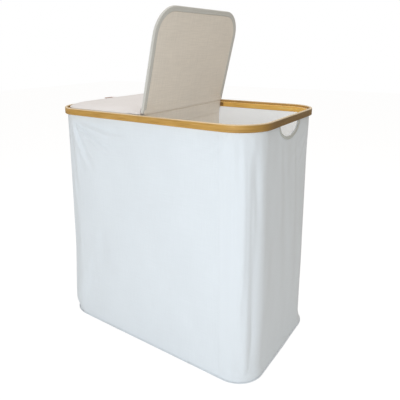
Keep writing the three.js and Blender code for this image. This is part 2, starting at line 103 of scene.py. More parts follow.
def turn(name, description, degrees):
    return FloatProperty(
        name=name, description=description, default=math.radians(degrees), subtype="ANGLE")


def linear(code):
    """An sRGB hex colour as linear red, green, blue and alpha."""
    parts = [int(code[i:i + 2], 16) / 255 for i in (0, 2, 4)]
    return [c / 12.92 if c <= 0.04045 else ((c + 0.055) / 1.055) ** 2.4 for c in parts] + [1.0]


def colour(name, description, code):
    return FloatVectorProperty(
        name=name, description=description, default=linear(code), subtype="COLOR", size=4, min=0, max=1)


class HamperSizes(PropertyGroup):
    rim_corner: length("Rim corner", "Radius of the rim's corners in plan", 79 * MM)
    base_corner: length("Base corner", "Radius of the base's corners in plan", 68 * MM)
    outer_hoop: length("Outer hoop thickness", "Thickness of the outer bamboo hoop", 6.4 * MM)
    inner_hoop: length("Inner hoop thickness", "Thickness of the inner bamboo hoop", 4.6 * MM)
    inner_hoop_inset: length("Inner hoop inset", "From the rim's outside to the inner hoop", 8.2 * MM)
    hoop_rounding: length("Hoop rounding", "Radius along the hoops' edges", 1.3 * MM)
    butt_rounding: length("Butt rounding", "Radius at the ends of each half hoop", 0.4 * MM)
    fit_gap: length("Fit gap", "Gap that touching pieces keep", 0.3 * MM)
    body_cloth: length("Body cloth", "Thickness of the body's cloth", 1.2 * MM)
    seam_from_corner: length("Seam from corner", "From the rim's corner to the upright seam", 10 * MM)
    hem_width: length("Hem width", "From the edge of a hand hole to the outside of its hem", 9 * MM)
    lining_cloth: length("Lining cloth", "Thickness of the bins' lining", 0.8 * MM)
    lining_inset: length("Lining inset", "From the body's outside to the lining", 4.5 * MM)
    lining_corner: length("Lining corner", "Radius of the lining's corners", 98 * MM)
    lining_funnel: length("Lining funnel", "Height over which the lining opens out to the rim", 24 * MM)
    sleeve_cloth: length("Bar sleeve cloth", "Thickness of the sleeve round the centre bar", 1.2 * MM)
    lid_corner: length("Lid corner", "Radius of the lid's far corners", 67 * MM)
    lid_hinge_corner: length("Lid hinge corner", "Radius of the lid's corners at the hinge", 5 * MM)
    lid_rounding: length("Lid rounding", "Radius along the lid's edge", 2.2 * MM)
    lid_margin: length("Lid margin", "Width of the cloth band round the lid's underside", 12 * MM)
    lid_hinge_fold: length("Lid hinge fold", "Width of the fold of cloth at the hinge edge", 1.6 * MM)
    lid_recess: length("Lid recess", "How far the lining panel lies below the band", 0.7 * MM)
    lid_crown: length("Lid crown", "Swell of the lid's top", 3.5 * MM)
    lid_puff: length("Lid puff", "How far the padding lifts the lid's top over its crown", 6.0 * MM)
    lid_spread: length("Lid spread", "How far the closed lid's padding spreads to the rim's end", 11 * MM)
    lid_crown_run: length("Lid crown run", "From the lid's edge to its full swell", 50 * MM)
    hinge_strip: length("Hinge strip", "Width of the cloth strip on each side of the hinge line", 13 * MM)
    strip_cloth: length("Strip cloth", "Thickness of the hinge strip", 0.7 * MM)
    pole_sleeve: length("Pole sleeve radius", "Outer radius of the sleeve round a pole", 4.9 * MM)
    pole_inset: length("Pole inset", "From the body's outside to the middle of a pole", 6.9 * MM)
    stitch: length("Stitch", "Length of one stitch of the sewing thread", 3.2 * MM)
    stitch_gap: length("Stitch gap", "Gap between two stitches", 1.4 * MM)
    thread: length("Thread", "Thickness of the sewing thread", 0.36 * MM)


class HamperFolds(PropertyGroup):
    fan: length("Fan creases", "Depth of the creases that fan out of a top corner", 4.0 * MM)
    upright: length("Upright folds", "Depth of the soft upright folds", 1.3 * MM)
    corner: length("Corner folds", "Depth of the folds that run down a corner", 1.0 * MM)
    tight: length("Tight corners", "How far the cloth is pulled flat on both sides of a pole", 3.0 * MM)
    sway: length("Sway", "Depth of the slow unevenness of the cloth", 0.55 * MM)
    waist: length("Waist", "How far the cloth draws in just above the base board", 3.0 * MM)
    waist_height: length("Waist height", "Height of the drawn-in place over the floor", 36 * MM)
    flare: length("Flare", "How far the base board's corners push the cloth out", 1.2 * MM)
    lid: length("Lid unevenness", "Unevenness of the lids' cloth", 0.35 * MM)


class HamperColours(PropertyGroup):
    bamboo: colour("Bamboo", "Main tone of the varnished bamboo", "C3974F")
    bamboo_dark: colour("Bamboo dark", "Dark fibres of the bamboo", "A2793A")
    bamboo_light: colour("Bamboo light", "Light fibres of the bamboo", "DBB980")
    body_cloth: colour("Body cloth", "White cloth of the body", "E2E7EB")
    lid_cloth: colour("Lid cloth", "White cloth of the lids", "E8E3E1")
    lining: colour("Lining", "Smooth white cloth of the bins' lining", "EEF0F2")
    beige: colour("Beige cloth", "Cloth under the lids and on the divider", "EAE1D4")
    hem: colour("Hem", "Cloth binding of the hand holes", "C4C6C0")
    binding: colour("Lid binding", "Tape that binds the edge and margin of the lids", "CBC9C2")
    # Painted highlight: the pale colour laid along the top edge of the hoops.
    bamboo_top_highlight: colour("Bamboo top highlight", "Planed top edge of the bamboo", "E6D4B6")
    tab: colour("Tab", "Woven ribbon of the pull tabs", "E6CBC0")
    thread: colour("Thread", "Sewing thread", "E4E7E8")
    board: colour("Board", "Pressed fibre board", "8D7A62")
    pole: colour("Pole", "Glass-fibre poles", "D8D8D2")
    socket: colour("Socket", "Moulded foot sockets", "9A9C9E")
    steel: colour("Steel", "Bronze-lacquered steel", "9A7646")
    floor: colour("Floor", "Pale studio floor", "F4F4F4")


class HamperStage(PropertyGroup):
    camera_x: length("Camera X", "Place of the camera", 660.7 * MM)
    camera_y: length("Camera Y", "Place of the camera", -951.6 * MM)
    camera_z: length("Camera Z", "Place of the camera", 765.9 * MM)
    camera_turn: turn("Camera turn", "Heading, anticlockwise from straight ahead", 35.87)
    camera_tilt: turn("Camera tilt", "Angle below the horizon", 13.85)
    camera_roll: turn("Camera roll", "Turn about the line of sight", 0.69)
    camera_lens: plain("Lens", "Focal length in mm on a 36 mm wide picture", 38.96)
    shift_x: plain("Shift X", "Sideways shift of the picture", 0.0585)
    shift_y: plain("Shift Y", "Upward shift of the picture", -0.1127)
    lamp_x: length("Lamp X", "Place of the main lamp", 0.53)
    lamp_y: length("Lamp Y", "Place of the main lamp", -1.7)
    lamp_z: length("Lamp Z", "Place of the main lamp", 0.62)
    lamp_size: length("Lamp size", "Side of the square main lamp", 1.0)
    lamp_power: plain("Lamp power", "Power of the main lamp in watts", 15.1)
    top_height: length("Top lamp height", "Height of the lamp overhead", 2.2)
    top_size: length("Top lamp size", "Side of the square lamp overhead", 1.4)
    top_power: plain("Top lamp power", "Power of the lamp overhead in watts", 15)
    room_light: plain("Room light", "Level of the even light from all round", 0.47)
    floor_glow: plain("Floor glow", "Share of the floor that is plain white to the camera", 0.80)


def sizes():
    return bpy.context.scene.hamper_sizes


def folds():
    return bpy.context.scene.hamper_folds


def colours():
    return bpy.context.scene.hamper_colours


# Selecting and making objects

def deselect_all():
    bpy.ops.object.select_all(action="DESELECT")


def pick(piece):
    deselect_all()
    piece.select_set(True)
    bpy.context.view_layer.objects.active = piece


def settle(piece, name):
    """Names the piece and its mesh, and puts its place into the mesh."""
    pick(piece)
    bpy.ops.object.transform_apply(location=True, rotation=True, scale=True)
    piece.name = name
    piece.data.name = name
    return piece


def apply_modifiers(piece):
    pick(piece)
    for modifier in list(piece.modifiers):
        bpy.ops.object.modifier_apply(modifier=modifier.name)


def thicken(piece, thickness, offset=-1.0):
    """Gives a sheet its thickness, inwards unless told otherwise."""
    wall = piece.modifiers.new("Thickness", "SOLIDIFY")
    wall.thickness = thickness
    wall.offset = offset
    apply_modifiers(piece)


def smooth(piece, degrees=40):
    pick(piece)
    bpy.ops.object.shade_smooth_by_angle(angle=math.radians(degrees))


def face_outwards(piece, merge=0.0):
    """Turns all faces outwards, after points closer than merge are joined."""
    pick(piece)
    bpy.ops.object.mode_set(mode="EDIT")
    bpy.ops.mesh.select_all(action="SELECT")
    if merge:
        bpy.ops.mesh.remove_doubles(threshold=merge)
    bpy.ops.mesh.normals_make_consistent(inside=False)
    bpy.ops.object.mode_set(mode="OBJECT")


def half_turn(piece):
    """Turns the piece half round the hamper's upright middle line."""
    pick(piece)
    bpy.ops.transform.rotate(value=math.pi, orient_axis="Z", center_override=(0, 0, 0))
    bpy.ops.object.transform_apply(location=True, rotation=True, scale=True)


def half_turned(piece, name):
    """A half-turned copy, with a mesh of its own."""
    pick(piece)
    bpy.ops.object.duplicate(linked=False)
    twin = bpy.context.object
    half_turn(twin)
    return settle(twin, name)


def points_of(piece):
    values = np.zeros(len(piece.data.vertices) * 3, np.float32)
    piece.data.vertices.foreach_get("co", values)
    return values.reshape(-1, 3).astype(float)


def set_points(piece, points):
    piece.data.vertices.foreach_set("co", np.asarray(points, np.float32).ravel())
    piece.data.update()


def keep_surface_places(piece, name, places):
    """Stores where each point lies along the surface, for the materials to follow."""
    attribute = piece.data.attributes.new(name, "FLOAT_VECTOR", "POINT")
    attribute.data.foreach_set("vector", np.asarray(places, np.float32).ravel())


def cloth_grid(name, columns, rows, place):
    """A sheet from a flat grid. place() turns arrays of column and row values into points."""
    deselect_all()
    bpy.ops.mesh.primitive_grid_add(
        x_subdivisions=len(columns) - 1, y_subdivisions=len(rows) - 1, size=1)
    sheet = bpy.context.object
    flat = points_of(sheet)
    u = np.asarray(columns)[np.rint((flat[:, 0] + 0.5) * (len(columns) - 1)).astype(int)]
    v = np.asarray(rows)[np.rint((flat[:, 1] + 0.5) * (len(rows) - 1)).astype(int)]
    set_points(sheet, place(u, v))
    keep_surface_places(sheet, "cloth", np.stack([u, v, np.zeros_like(u)], axis=1))
    return settle(sheet, name)


def hand_built(name, points, faces):
    """A piece of cloth or thread made from its points and faces."""
    mesh = bpy.data.meshes.new(name)
    mesh.from_pydata([tuple(point) for point in points], [], faces)
    piece = bpy.data.objects.new(name, mesh)
    bpy.context.scene.collection.objects.link(piece)
    return piece


def ring_face(ring, size):
    """One face across a ring of size points, with the rings counted from 0."""
    return tuple(ring * size + point for point in range(size))


def skin_faces(count, size, closed=False):
    """The faces from each ring of a row to the next, and from the last to the first if closed."""
    faces = []
    for ring in range(count if closed else count - 1):
        here, there = ring * size, (ring + 1) % count * size
        faces += [(here + p, here + (p + 1) % size, there + (p + 1) % size, there + p) for p in range(size)]
    return faces


def stops(low, high, step, fine=()):
    """Even steps from low to high, with a few short ones at each end for a seam or hem."""
    inner = [low + d for d in fine] + [high - d for d in reversed(fine)]
    first, last = (inner[len(fine) - 1], inner[len(fine)]) if fine else (low, high)
    count = max(2, round((last - first) / step))
    even = list(np.linspace(first, last, count + 1))
    return [low] + inner[:max(len(fine) - 1, 0)] + even[(0 if fine else 1):] + (
        inner[len(fine) + 1:] + [high] if fine else [])


# The plan of the rim and of the cloth wall

def straight_run():
    """Half the length of the front between the rim's corners."""
    return RIM_HIGH.x - sizes().rim_corner


def end_run():
    return RIM_HIGH.y - sizes().rim_corner


def corner_run():
    """Reference length of one rounded corner."""
    return math.pi / 4 * (sizes().rim_corner + sizes().base_corner)


def wall_half():
    return 2 * (straight_run() + corner_run() + end_run())


def wall_plan(z):
    """Half width, half depth and corner radius of the cloth wall's outside at each height."""
    s = sizes()
    down = np.clip(1 - np.asarray(z) / HOOP_LOW, 0, 1)
    inset = s.outer_hoop + s.fit_gap
    top = (RIM_HIGH.x - inset, RIM_HIGH.y - inset, s.rim_corner - inset)
    low = (BASE.x, BASE.y, s.base_corner)
    return [a + (b - a) * down for a, b in zip(top, low)]


def wall_point(s, z, out=0.0):
    """Points on the cloth wall, moved outwards by out."""
    half_width, half_depth, corner = wall_plan(z)
    half = wall_half()
    turns = np.floor(np.asarray(s) / half + 1e-9)
    side = np.where(turns % 2 == 0, 1.0, -1.0)
    along = np.asarray(s) - turns * half
    marks = np.cumsum([straight_run(), corner_run(), 2 * end_run(), corner_run()])
    x0, y0 = half_width - corner, half_depth - corner
    share = [np.clip((along - low) / (high - low), 0, 1) for low, high in zip(
        [0, *marks], [*marks, half])]
    front, near, end, far, back = share
    angle = -math.pi / 2 + (near + far) * math.pi / 2
    x = x0 * (front - back) + (corner + out) * np.cos(angle)
    y = -y0 + 2 * y0 * end + (corner + out) * np.sin(angle)
    return np.stack([side * x, side * y, np.broadcast_to(z, x.shape)], axis=-1)


def seam_places():
    """s of the four upright seams, from the front left one round."""
    seam = straight_run() - sizes().seam_from_corner
    half = wall_half()
    return [-seam, seam, half - seam, half + seam, 2 * half - seam]


def end_middle(sign):
    """s of the middle of the right end, or of the left one if sign is negative."""
    return straight_run() + corner_run() + end_run() + (wall_half() if sign < 0 else 0)


def pole_places():
    """s of the four poles, in the middle of each corner."""
    near = straight_run() + corner_run() / 2
    return [near, wall_half() - near, wall_half() + near, 2 * wall_half() - near]


# The folds of the body cloth

def ease(value, low, high):
    """0 below low, 1 above high and a smooth rise between them."""
    t = np.clip((np.asarray(value) - low) / (high - low), 0, 1)
    return t * t * (3 - 2 * t)


def crease(s, z, start, end, bow, width, depth):
    """A valley with a ridge beside it, along a bowed line from start to end, given in metres."""
    (s0, z0), (s1, z1) = start, end
    run = math.hypot(s1 - s0, z1 - z0)
    along = ((s - s0) * (s1 - s0) + (z - z0) * (z1 - z0)) / run ** 2
    off = ((s - s0) * (z1 - z0) - (z - z0) * (s1 - s0)) / run
    off = off + bow * 4 * along * (1 - along)
    spread = width * (0.6 + 0.9 * np.clip(along, 0, 1))
    shape = 0.75 * np.exp(-((off - 1.5 * spread) / spread) ** 2) - np.exp(-(off / spread) ** 2)
    reach = ease(along, -0.08, 0.16) * (1 - ease(along, 0.55, 1.08))
    return depth * shape * reach


# Folds of the wall: start and end as distance along the wall and height, bow and width, all in mm, and a
# share of the full depth. Those on the front count from its middle, those at a corner from its pole and
# those on an end from the end's middle.
FAN_AT_FRONT_LEFT = (
    ((-232, 586), (-158, 450), -8, 7.0, 1.00),
    ((-222, 578), (-66, 505), -6, 6.5, 1.05),
    ((-215, 585), (-40, 555), -3, 5.5, 0.70),
    ((-250, 560), (-212, 300), -9, 10.0, 0.60),
)
SOFT_FOLDS_AT_FRONT = (
    ((-214, 530), (-196, 300), 5, 17.0, 0.55),
    ((-143, 305), (-158, 135), 6, 17.0, 0.95),
    ((-182, 208), (-222, 34), 13, 17.0, 1.05),
    ((-250, 262), (-232, 80), 6, 12.0, 0.40),
)
SOFT_FOLDS_AT_CORNER = (
    ((6, 590), (40, 300), 4, 9.0, 0.75),
    ((-12, 230), (12, 60), 4, 9.0, 0.55),
)
SOFT_FOLDS_AT_END = (
    ((-32, 545), (22, 110), 6, 17.0, 0.85),
    ((50, 540), (93, 80), 5, 15.0, 0.75),
    ((-76, 330), (-92, 70), 5, 19.0, 0.40),
)

# How strongly each top corner pulls: the corner's number from the front right one round, the way its fan
# runs, the height of its start in mm and its strength
OTHER_FANS = (
    (0, -1, 586, 0.08),
    (1, -1, 584, 0.26),
    (1, 1, 586, 0.36),
    (2, -1, 584, 0.28),
    (2, 1, 586, 0.40),
    (3, -1, 585, 0.40),
)
FAN_FROM_POLE = 38

# The creases of one fan: degrees below the rim, length and width in mm, and a share of the full depth
FAN_RAYS = ((60, 150, 6.5, 0.9), (35, 175, 8.0, 1.0), (18, 180, 7.0, 0.6))

# For the poles from the front right one round: how strongly the cloth draws in over the base board, is
# pushed out by the board's corner and is pulled flat beside the pole, where less than 0 is the other way,
# and how far round from the pole its folds lie, in mm
WAIST_AT_POLES = (0.75, 1.0, 0.75, -3.2)
FLARE_AT_POLES = (0.6, 2.0, 1.0, -0.6)
TIGHT_AT_POLES = (1.55, 0.5, 0.6, 1.2)
CORNER_FOLDS_FROM_POLE = (-10, 0, 0, 0)
POLE_REACH = 62 * MM

# Down the corners: distance round the wall for one radian of the folds' wave, reach of the folds, and
# distance from the pole at which the cloth is pulled flattest
CORNER_WAVE = 3.6 * MM
CORNER_REACH = 34 * MM
FLATTEST_FROM_POLE = 27 * MM

# Room between the cloth and a pole's sleeve: at the pole, how wide it stays so, and its growth beyond
POLE_ROOM = 0.6 * MM
POLE_ROOM_RUN = 4 * MM
POLE_ROOM_GROWTH = 0.32

# The right end is pushed out over its whole length
END_FLARE_SHARE = 1.7
END_FLARE_REACH = 110 * MM

# The slow unevenness: number of waves round the wall, lean in radians over SWAY_RISE and share of the full
# depth
SWAYS = ((9, 2.3, 1.0), (16, -3.9, 0.55), (27, 5.2, 0.35), (43, -8.1, 0.16))
SWAY_RISE = 300 * MM

# Height over which the folds set in at the piping and end under the hoop, and depth of the waist all round
# and beside a pole, as a share of its full depth
FLAT_RUN = 26 * MM
WAIST_ALL_ROUND = 0.45
WAIST_BESIDE_POLE = 0.75


def beside_poles(s, shares):
    """Adds up a share for each pole, full at the pole and all but gone 100 mm away from it."""
    return sum(share * np.exp(-((s - place) / POLE_REACH) ** 2)
               for share, place in zip(shares, pole_places()))


def base_flare(s):
    """The base boards push the cloth out at their corners and along the right end."""
    along = END_FLARE_SHARE * np.exp(-((s - end_middle(1)) / END_FLARE_REACH) ** 2)
    return folds().flare * (beside_poles(s, FLARE_AT_POLES) + along)


def scaled_crease(s, z, start, end, bow, width, depth, middle=0.0):
    """A crease given in mm, its places counted from middle."""
    ends = [(middle + a * MM, b * MM) for a, b in (start, end)]
    return crease(s, z, *ends, bow * MM, width * MM, depth)


def fan_creases(s, z, corner, way, high, strength):
    """Creases that fan out of a top corner."""
    start = pole_places()[corner] / MM + way * FAN_FROM_POLE
    depth = strength * folds().fan
    total = 0
    for degrees, reach, width, share in FAN_RAYS:
        fall = math.radians(degrees + 4 * way)
        end = (start + way * reach * math.cos(fall), high - reach * math.sin(fall))
        total = total + scaled_crease(s, z, (start, high), end, -9 * way, width, share * depth)
    return total


def crease_depth(s, z):
    """All creases and soft folds away from the corners, in metres outwards."""
    f = folds()
    half = wall_half()
    poles = pole_places()
    left = np.where(s > half + straight_run(), s - 2 * half, s)
    # A table of folds, the cloth's places to lay it on, where it counts from and how deep it is
    rows = (
        (FAN_AT_FRONT_LEFT, left, 0, f.fan),
        (SOFT_FOLDS_AT_FRONT, left, 0, f.upright),
        (SOFT_FOLDS_AT_FRONT, s, half, 0.8 * f.upright),
        (SOFT_FOLDS_AT_CORNER, s, poles[0], f.upright),
        (SOFT_FOLDS_AT_CORNER, s, poles[2], f.upright),
        (SOFT_FOLDS_AT_END, s, end_middle(1), f.upright),
        (SOFT_FOLDS_AT_END, s, end_middle(-1), 0.8 * f.upright),
    )
    out = 0
    for table, places, middle, depth in rows:
        for *line, share in table:
            out = out + scaled_crease(places, z, *line, depth * share, middle)
    for fan in OTHER_FANS:
        out = out + fan_creases(s, z, *fan)
    return out


def corner_depth(s, z):
    """Folds that run down the corners. The cloth is pulled flat on both sides of a pole, so that it turns
    sharply over it."""
    f = folds()
    out = 0
    for number, place in enumerate(pole_places()):
        beside = s - place - CORNER_FOLDS_FROM_POLE[number] * MM
        wave = np.cos(beside / CORNER_WAVE + 2.95 + 1.3 * number + 1.1 * np.sin(z / (85 * MM)))
        near = np.exp(-(beside / CORNER_REACH) ** 2)
        out = out - f.corner * wave * near * (0.35 + 0.65 * ease(z, 200 * MM, 500 * MM))
        away = (beside / FLATTEST_FROM_POLE) ** 2
        pulled = f.tight * TIGHT_AT_POLES[number] * ease(z, 30 * MM, 140 * MM)
        out = out - pulled * away * np.exp(1 - away) * (1 - ease(z, 480 * MM, 585 * MM))
    return out


def pole_room(s):
    """How far the cloth can draw in before it meets a pole's sleeve."""
    room = np.full(np.shape(s), np.inf)
    for place in pole_places():
        beside = np.abs(s - place)
        room = np.minimum(room, POLE_ROOM + POLE_ROOM_GROWTH * np.maximum(beside - POLE_ROOM_RUN, 0))
    return room


def fold_depth(s, z):
    """How far the body cloth stands out of its plain wall, in metres."""
    f = folds()
    whole = 2 * wall_half()
    s = np.mod(s, whole)
    out = crease_depth(s, z) + corner_depth(s, z)
    for waves, lean, share in SWAYS:
        phase = 2 * math.pi * waves * s / whole + lean * z / SWAY_RISE + waves
        out = out + f.sway * share * np.sin(phase)
    # The cloth lies flat under the hoop and at the piping
    out = out * ease(HOOP_LOW - 1 * MM - z, 0, FLAT_RUN) * ease(z, 4 * MM, FLAT_RUN)
    below = ease(z, 6 * MM, f.waist_height)
    above = 1 - ease(z, f.waist_height, 6.5 * f.waist_height)
    waist = WAIST_ALL_ROUND + WAIST_BESIDE_POLE * beside_poles(s, WAIST_AT_POLES)
    out = out - f.waist * waist * below * above
    out = out + base_flare(s) * (1 - ease(z, 2 * MM, 22 * MM))
    return np.maximum(out, -pole_room(s))


# Materials

def add_node(tree, kind, settings=None, links=None, stops=()):
    """Adds a node. links gives each input a value or the output that feeds it, stops fill a colour ramp."""
    node = tree.nodes.new(kind)
    for key, value in (settings or {}).items():
        setattr(node, key, value)
    for key, value in (links or {}).items():
        if isinstance(value, bpy.types.NodeSocket):
            tree.links.new(value, node.inputs[key])
        else:
            node.inputs[key].default_value = value
    for number, (place, value) in enumerate(stops):
        elements = node.color_ramp.elements
        element = elements[number] if number < 2 else elements.new(place)
        element.position = place
        element.color = value
    return node


def new_material(name):
    """A material with an empty tree."""
    material = bpy.data.materials.new(name)
    material.use_nodes = True
    material.node_tree.nodes.clear()
    return material, material.node_tree


def shade(value, factor):
    """The colour made lighter or darker by a factor."""
    return [min(c * factor, 1.0) for c in value[:3]] + [1.0]


def grey(level):
    return [level, level, level, 1.0]


def varnished_bamboo(name, tone, painted_end_shade_tone, top_highlight_share):
    """Split bamboo, shaped over heat and varnished: long straight fibres under a satin skin. Each hoop is
    darkened over its corners and along its ends as painted shade, and its top edge is paled as a painted
    highlight."""
    c = colours()
    material, tree = new_material(name)
    grain = add_node(tree, "ShaderNodeAttribute", {"attribute_name": "grain"}).outputs["Vector"]
    marks = []
    # Fibre bundles are about 0.4 mm wide; they are drawn 1.3 mm wide so that they show
    for along, across, up, detail in ((75, 2.1, 2.6, 3), (22, 0.8, 1.1, 2), (190, 20, 20, 1)):
        stretched = add_node(tree, "ShaderNodeMapping", {}, {
            "Vector": grain, "Scale": (1000 / along, 1000 / across, 1000 / up)})
        marks.append(add_node(tree, "ShaderNodeTexNoise", {}, {
            "Vector": stretched.outputs[0], "Scale": 1, "Detail": detail, "Roughness": 0.6}).outputs[0])
    streaks, fibres, slow = marks
    wood = add_node(tree, "ShaderNodeValToRGB", {}, {"Fac": streaks}, (
        (0.28, shade(c.bamboo_dark, tone)), (0.48, shade(c.bamboo, tone)),
        (0.60, shade(c.bamboo, 1.05 * tone)), (0.76, shade(c.bamboo_light, tone)))).outputs[0]
    parts = add_node(tree, "ShaderNodeSeparateXYZ", {}, {0: grain}).outputs
    whole = 2 * (straight_run() + end_run()) + math.pi * sizes().rim_corner
    share = add_node(tree, "ShaderNodeMath", {"operation": "DIVIDE"}, {0: parts[0], 1: whole}).outputs[0]
    # Painted shade: darker over the corners and along the ends of the hoop.
    end_shade = grey(painted_end_shade_tone)
    for factor, tones in (
            (fibres, ((0.3, grey(0.90)), (0.7, grey(1.0)))),
            (slow, ((0.35, grey(0.90)), (0.65, grey(1.0)))),
            (share, ((0.27, grey(1.0)), (0.39, end_shade), (0.61, end_shade), (0.72, grey(1.0))))):
        tones = add_node(tree, "ShaderNodeValToRGB", {}, {"Fac": factor}, tones)
        wood = add_node(tree, "ShaderNodeMix", {"data_type": "RGBA", "blend_type": "MULTIPLY"}, {
            0: 1.0, 6: wood, 7: tones.outputs[0]}).outputs[2]
    # The top 2.3 mm of the hoop is paled towards this colour, fully in its top 0.9 mm, as a painted
    # highlight.
    edge = add_node(tree, "ShaderNodeMapRange", {}, {
        "Value": parts[2], "From Min": 0.9 * MM, "From Max": 2.3 * MM, "To Min": top_highlight_share, "To Max": 0.0})
    wood = add_node(tree, "ShaderNodeMix", {"data_type": "RGBA"}, {
        0: edge.outputs[0], 6: wood, 7: c.bamboo_top_highlight}).outputs[2]
    rough = add_node(tree, "ShaderNodeMapRange", {}, {"Value": streaks, "To Min": 0.44, "To Max": 0.60})
    bump = add_node(tree, "ShaderNodeBump", {}, {"Strength": 0.35, "Distance": 0.15 * MM, "Height": fibres})
    skin = add_node(tree, "ShaderNodeBsdfPrincipled", {}, {
        "Base Color": wood, "Roughness": rough.outputs[0], "Specular IOR Level": 0.2, "Coat Weight": 0.05,
        "Coat Roughness": 0.3, "Normal": bump.outputs[0]})
    add_node(tree, "ShaderNodeOutputMaterial", {}, {"Surface": skin.outputs[0]})
    return material


def woven(name, base, thread, depth, roughness, sheen, slub=0.05, cloud=0.03, glow=0.0):
    """A plain weave: crossing threads, a few thick ones, and slow clouds where the cloth took up dye."""
    material, tree = new_material(name)
    place = add_node(tree, "ShaderNodeAttribute", {"attribute_name": "cloth"}).outputs["Vector"]
    weave, slubs = 1.0, 0.0
    for direction, scale in (("X", (625 * MM / thread, 20, 1)), ("Y", (20, 625 * MM / thread, 1))):
        threads = add_node(tree, "ShaderNodeTexWave", {"bands_direction": direction}, {
            "Vector": place, "Scale": math.pi / 10 / thread, "Distortion": 0.6, "Detail": 1.0,
            "Detail Scale": 2.0}).outputs["Fac"]
        weave = add_node(tree, "ShaderNodeMath", {"operation": "MULTIPLY"}, {
            0: weave, 1: threads}).outputs[0]
        stretched = add_node(tree, "ShaderNodeMapping", {}, {"Vector": place, "Scale": scale}).outputs[0]
        thick = add_node(tree, "ShaderNodeTexNoise", {}, {
            "Vector": stretched, "Scale": 1, "Detail": 2, "Roughness": 0.6}).outputs[0]
        slubs = add_node(tree, "ShaderNodeMath", {"operation": "MULTIPLY_ADD"}, {
            0: thick, 1: 0.5, 2: slubs}).outputs[0]
    tone = add_node(tree, "ShaderNodeValToRGB", {}, {"Fac": slubs}, (
        (0.35, shade(base, 1 - slub)), (0.65, shade(base, 1 + slub * 0.6)))).outputs[0]
    wide = add_node(tree, "ShaderNodeMapping", {}, {"Vector": place, "Scale": (9, 6, 1)}).outputs[0]
    clouds = add_node(tree, "ShaderNodeTexNoise", {}, {
        "Vector": wide, "Scale": 1, "Detail": 3, "Roughness": 0.5}).outputs[0]
    clouds = add_node(tree, "ShaderNodeValToRGB", {}, {"Fac": clouds}, (
        (0.3, grey(1 - cloud)), (0.7, grey(1.0)))).outputs[0]
    tone = add_node(tree, "ShaderNodeMix", {"data_type": "RGBA", "blend_type": "MULTIPLY"}, {
        0: 1.0, 6: tone, 7: clouds}).outputs[2]
    height = add_node(tree, "ShaderNodeMath", {"operation": "MULTIPLY_ADD"}, {
        0: slubs, 1: 1.6, 2: weave}).outputs[0]
    bump = add_node(tree, "ShaderNodeBump", {}, {"Strength": 0.5, "Distance": depth, "Height": height})
    # A glow above 0 makes the cloth give off light of its own colour: painted light.
    fibre = add_node(tree, "ShaderNodeBsdfPrincipled", {}, {
        "Base Color": tone, "Roughness": roughness, "IOR": 1.45, "Specular IOR Level": 0.3,
        "Sheen Weight": sheen, "Sheen Roughness": 0.5, "Emission Color": base, "Emission Strength": glow,
        "Normal": bump.outputs[0]})
    add_node(tree, "ShaderNodeOutputMaterial", {}, {"Surface": fibre.outputs[0]})
    return material


def body_canvas():
    """Cotton and polyester canvas, plain woven and starched: matt, with a soft uneven white."""
    # The threads are 0.5 mm apart; they are drawn 1.5 mm apart so that they can show at all
    return woven("white_canvas", colours().body_cloth, 1.5 * MM, 0.12 * MM, 0.86, 0.12, 0.02, 0.035)


def lid_canvas():
    """The same canvas in a warmer white, stretched over board."""
    return woven("warm_white_canvas", colours().lid_cloth, 1.5 * MM, 0.12 * MM, 0.85, 0.12, 0.02, 0.03)


def beige_linen():
    """Beige linen-look polyester: uneven threads that show as fine lines both ways."""
    return woven("beige_linen_cloth", colours().beige, 1.8 * MM, 0.16 * MM, 0.88, 0.1, 0.07, 0.045)


def lining_taffeta():
    """Polyester taffeta: fine, smooth and faintly shiny. It gives off a faint glow of its own colour:
    painted light that brightens the inside of the bins."""
    return woven("lining_taffeta", colours().lining, 1.2 * MM, 0.05 * MM, 0.6, 0.1, 0.012, 0.03, 0.17)


def hem_tape():
    """Bias-cut cotton tape, a shade darker than the canvas it binds."""
    return woven("bias_cut_cotton_tape", colours().hem, 1.4 * MM, 0.12 * MM, 0.88, 0.1, 0.04, 0.03)


def binding_tape():
    """Cotton tape in a greyed cream, folded over the lid's edge."""
    return woven("lid_binding_tape", colours().binding, 1.4 * MM, 0.1 * MM, 0.88, 0.1, 0.04, 0.03)


def ribbon():
    """Woven polyester ribbon with a fine crosswise rib."""
    return woven("woven_ribbon", colours().tab, 1.2 * MM, 0.1 * MM, 0.7, 0.15, 0.05, 0.02)


def flecked(name, base, spread, scale, roughness, depth, metallic=0.0, stretch=(1, 1, 1)):
    """A surface whose colour and relief come from one noise on the object's own coordinates."""
    material, tree = new_material(name)
    place = add_node(tree, "ShaderNodeTexCoord").outputs["Object"]
    stretched = add_node(tree, "ShaderNodeMapping", {}, {
        "Vector": place, "Scale": [k / scale for k in stretch]}).outputs[0]
    marks = add_node(tree, "ShaderNodeTexNoise", {}, {
        "Vector": stretched, "Scale": 1, "Detail": 4, "Roughness": 0.6}).outputs[0]
    tone = add_node(tree, "ShaderNodeValToRGB", {}, {"Fac": marks}, (
        (0.3, shade(base, 1 - spread)), (0.7, shade(base, 1 + spread)))).outputs[0]
    bump = add_node(tree, "ShaderNodeBump", {}, {"Strength": 0.4, "Distance": depth, "Height": marks})
    skin = add_node(tree, "ShaderNodeBsdfPrincipled", {}, {
        "Base Color": tone, "Roughness": roughness, "Metallic": metallic, "Normal": bump.outputs[0]})
    add_node(tree, "ShaderNodeOutputMaterial", {}, {"Surface": skin.outputs[0]})
    return material


def hardboard():
    """Wet-pressed fibre board: brown, with flecks of fibre a few millimetres long."""
    return flecked("hardboard", colours().board, 0.18, 2.5 * MM, 0.8, 0.1 * MM)


def glass_fibre():
    """Pultruded glass-fibre rod: off-white, with the fibres running along it."""
    return flecked("glass_fibre_rod", colours().pole, 0.06, 1.5 * MM, 0.45, 0.05 * MM, 0, (1, 1, 0.03))


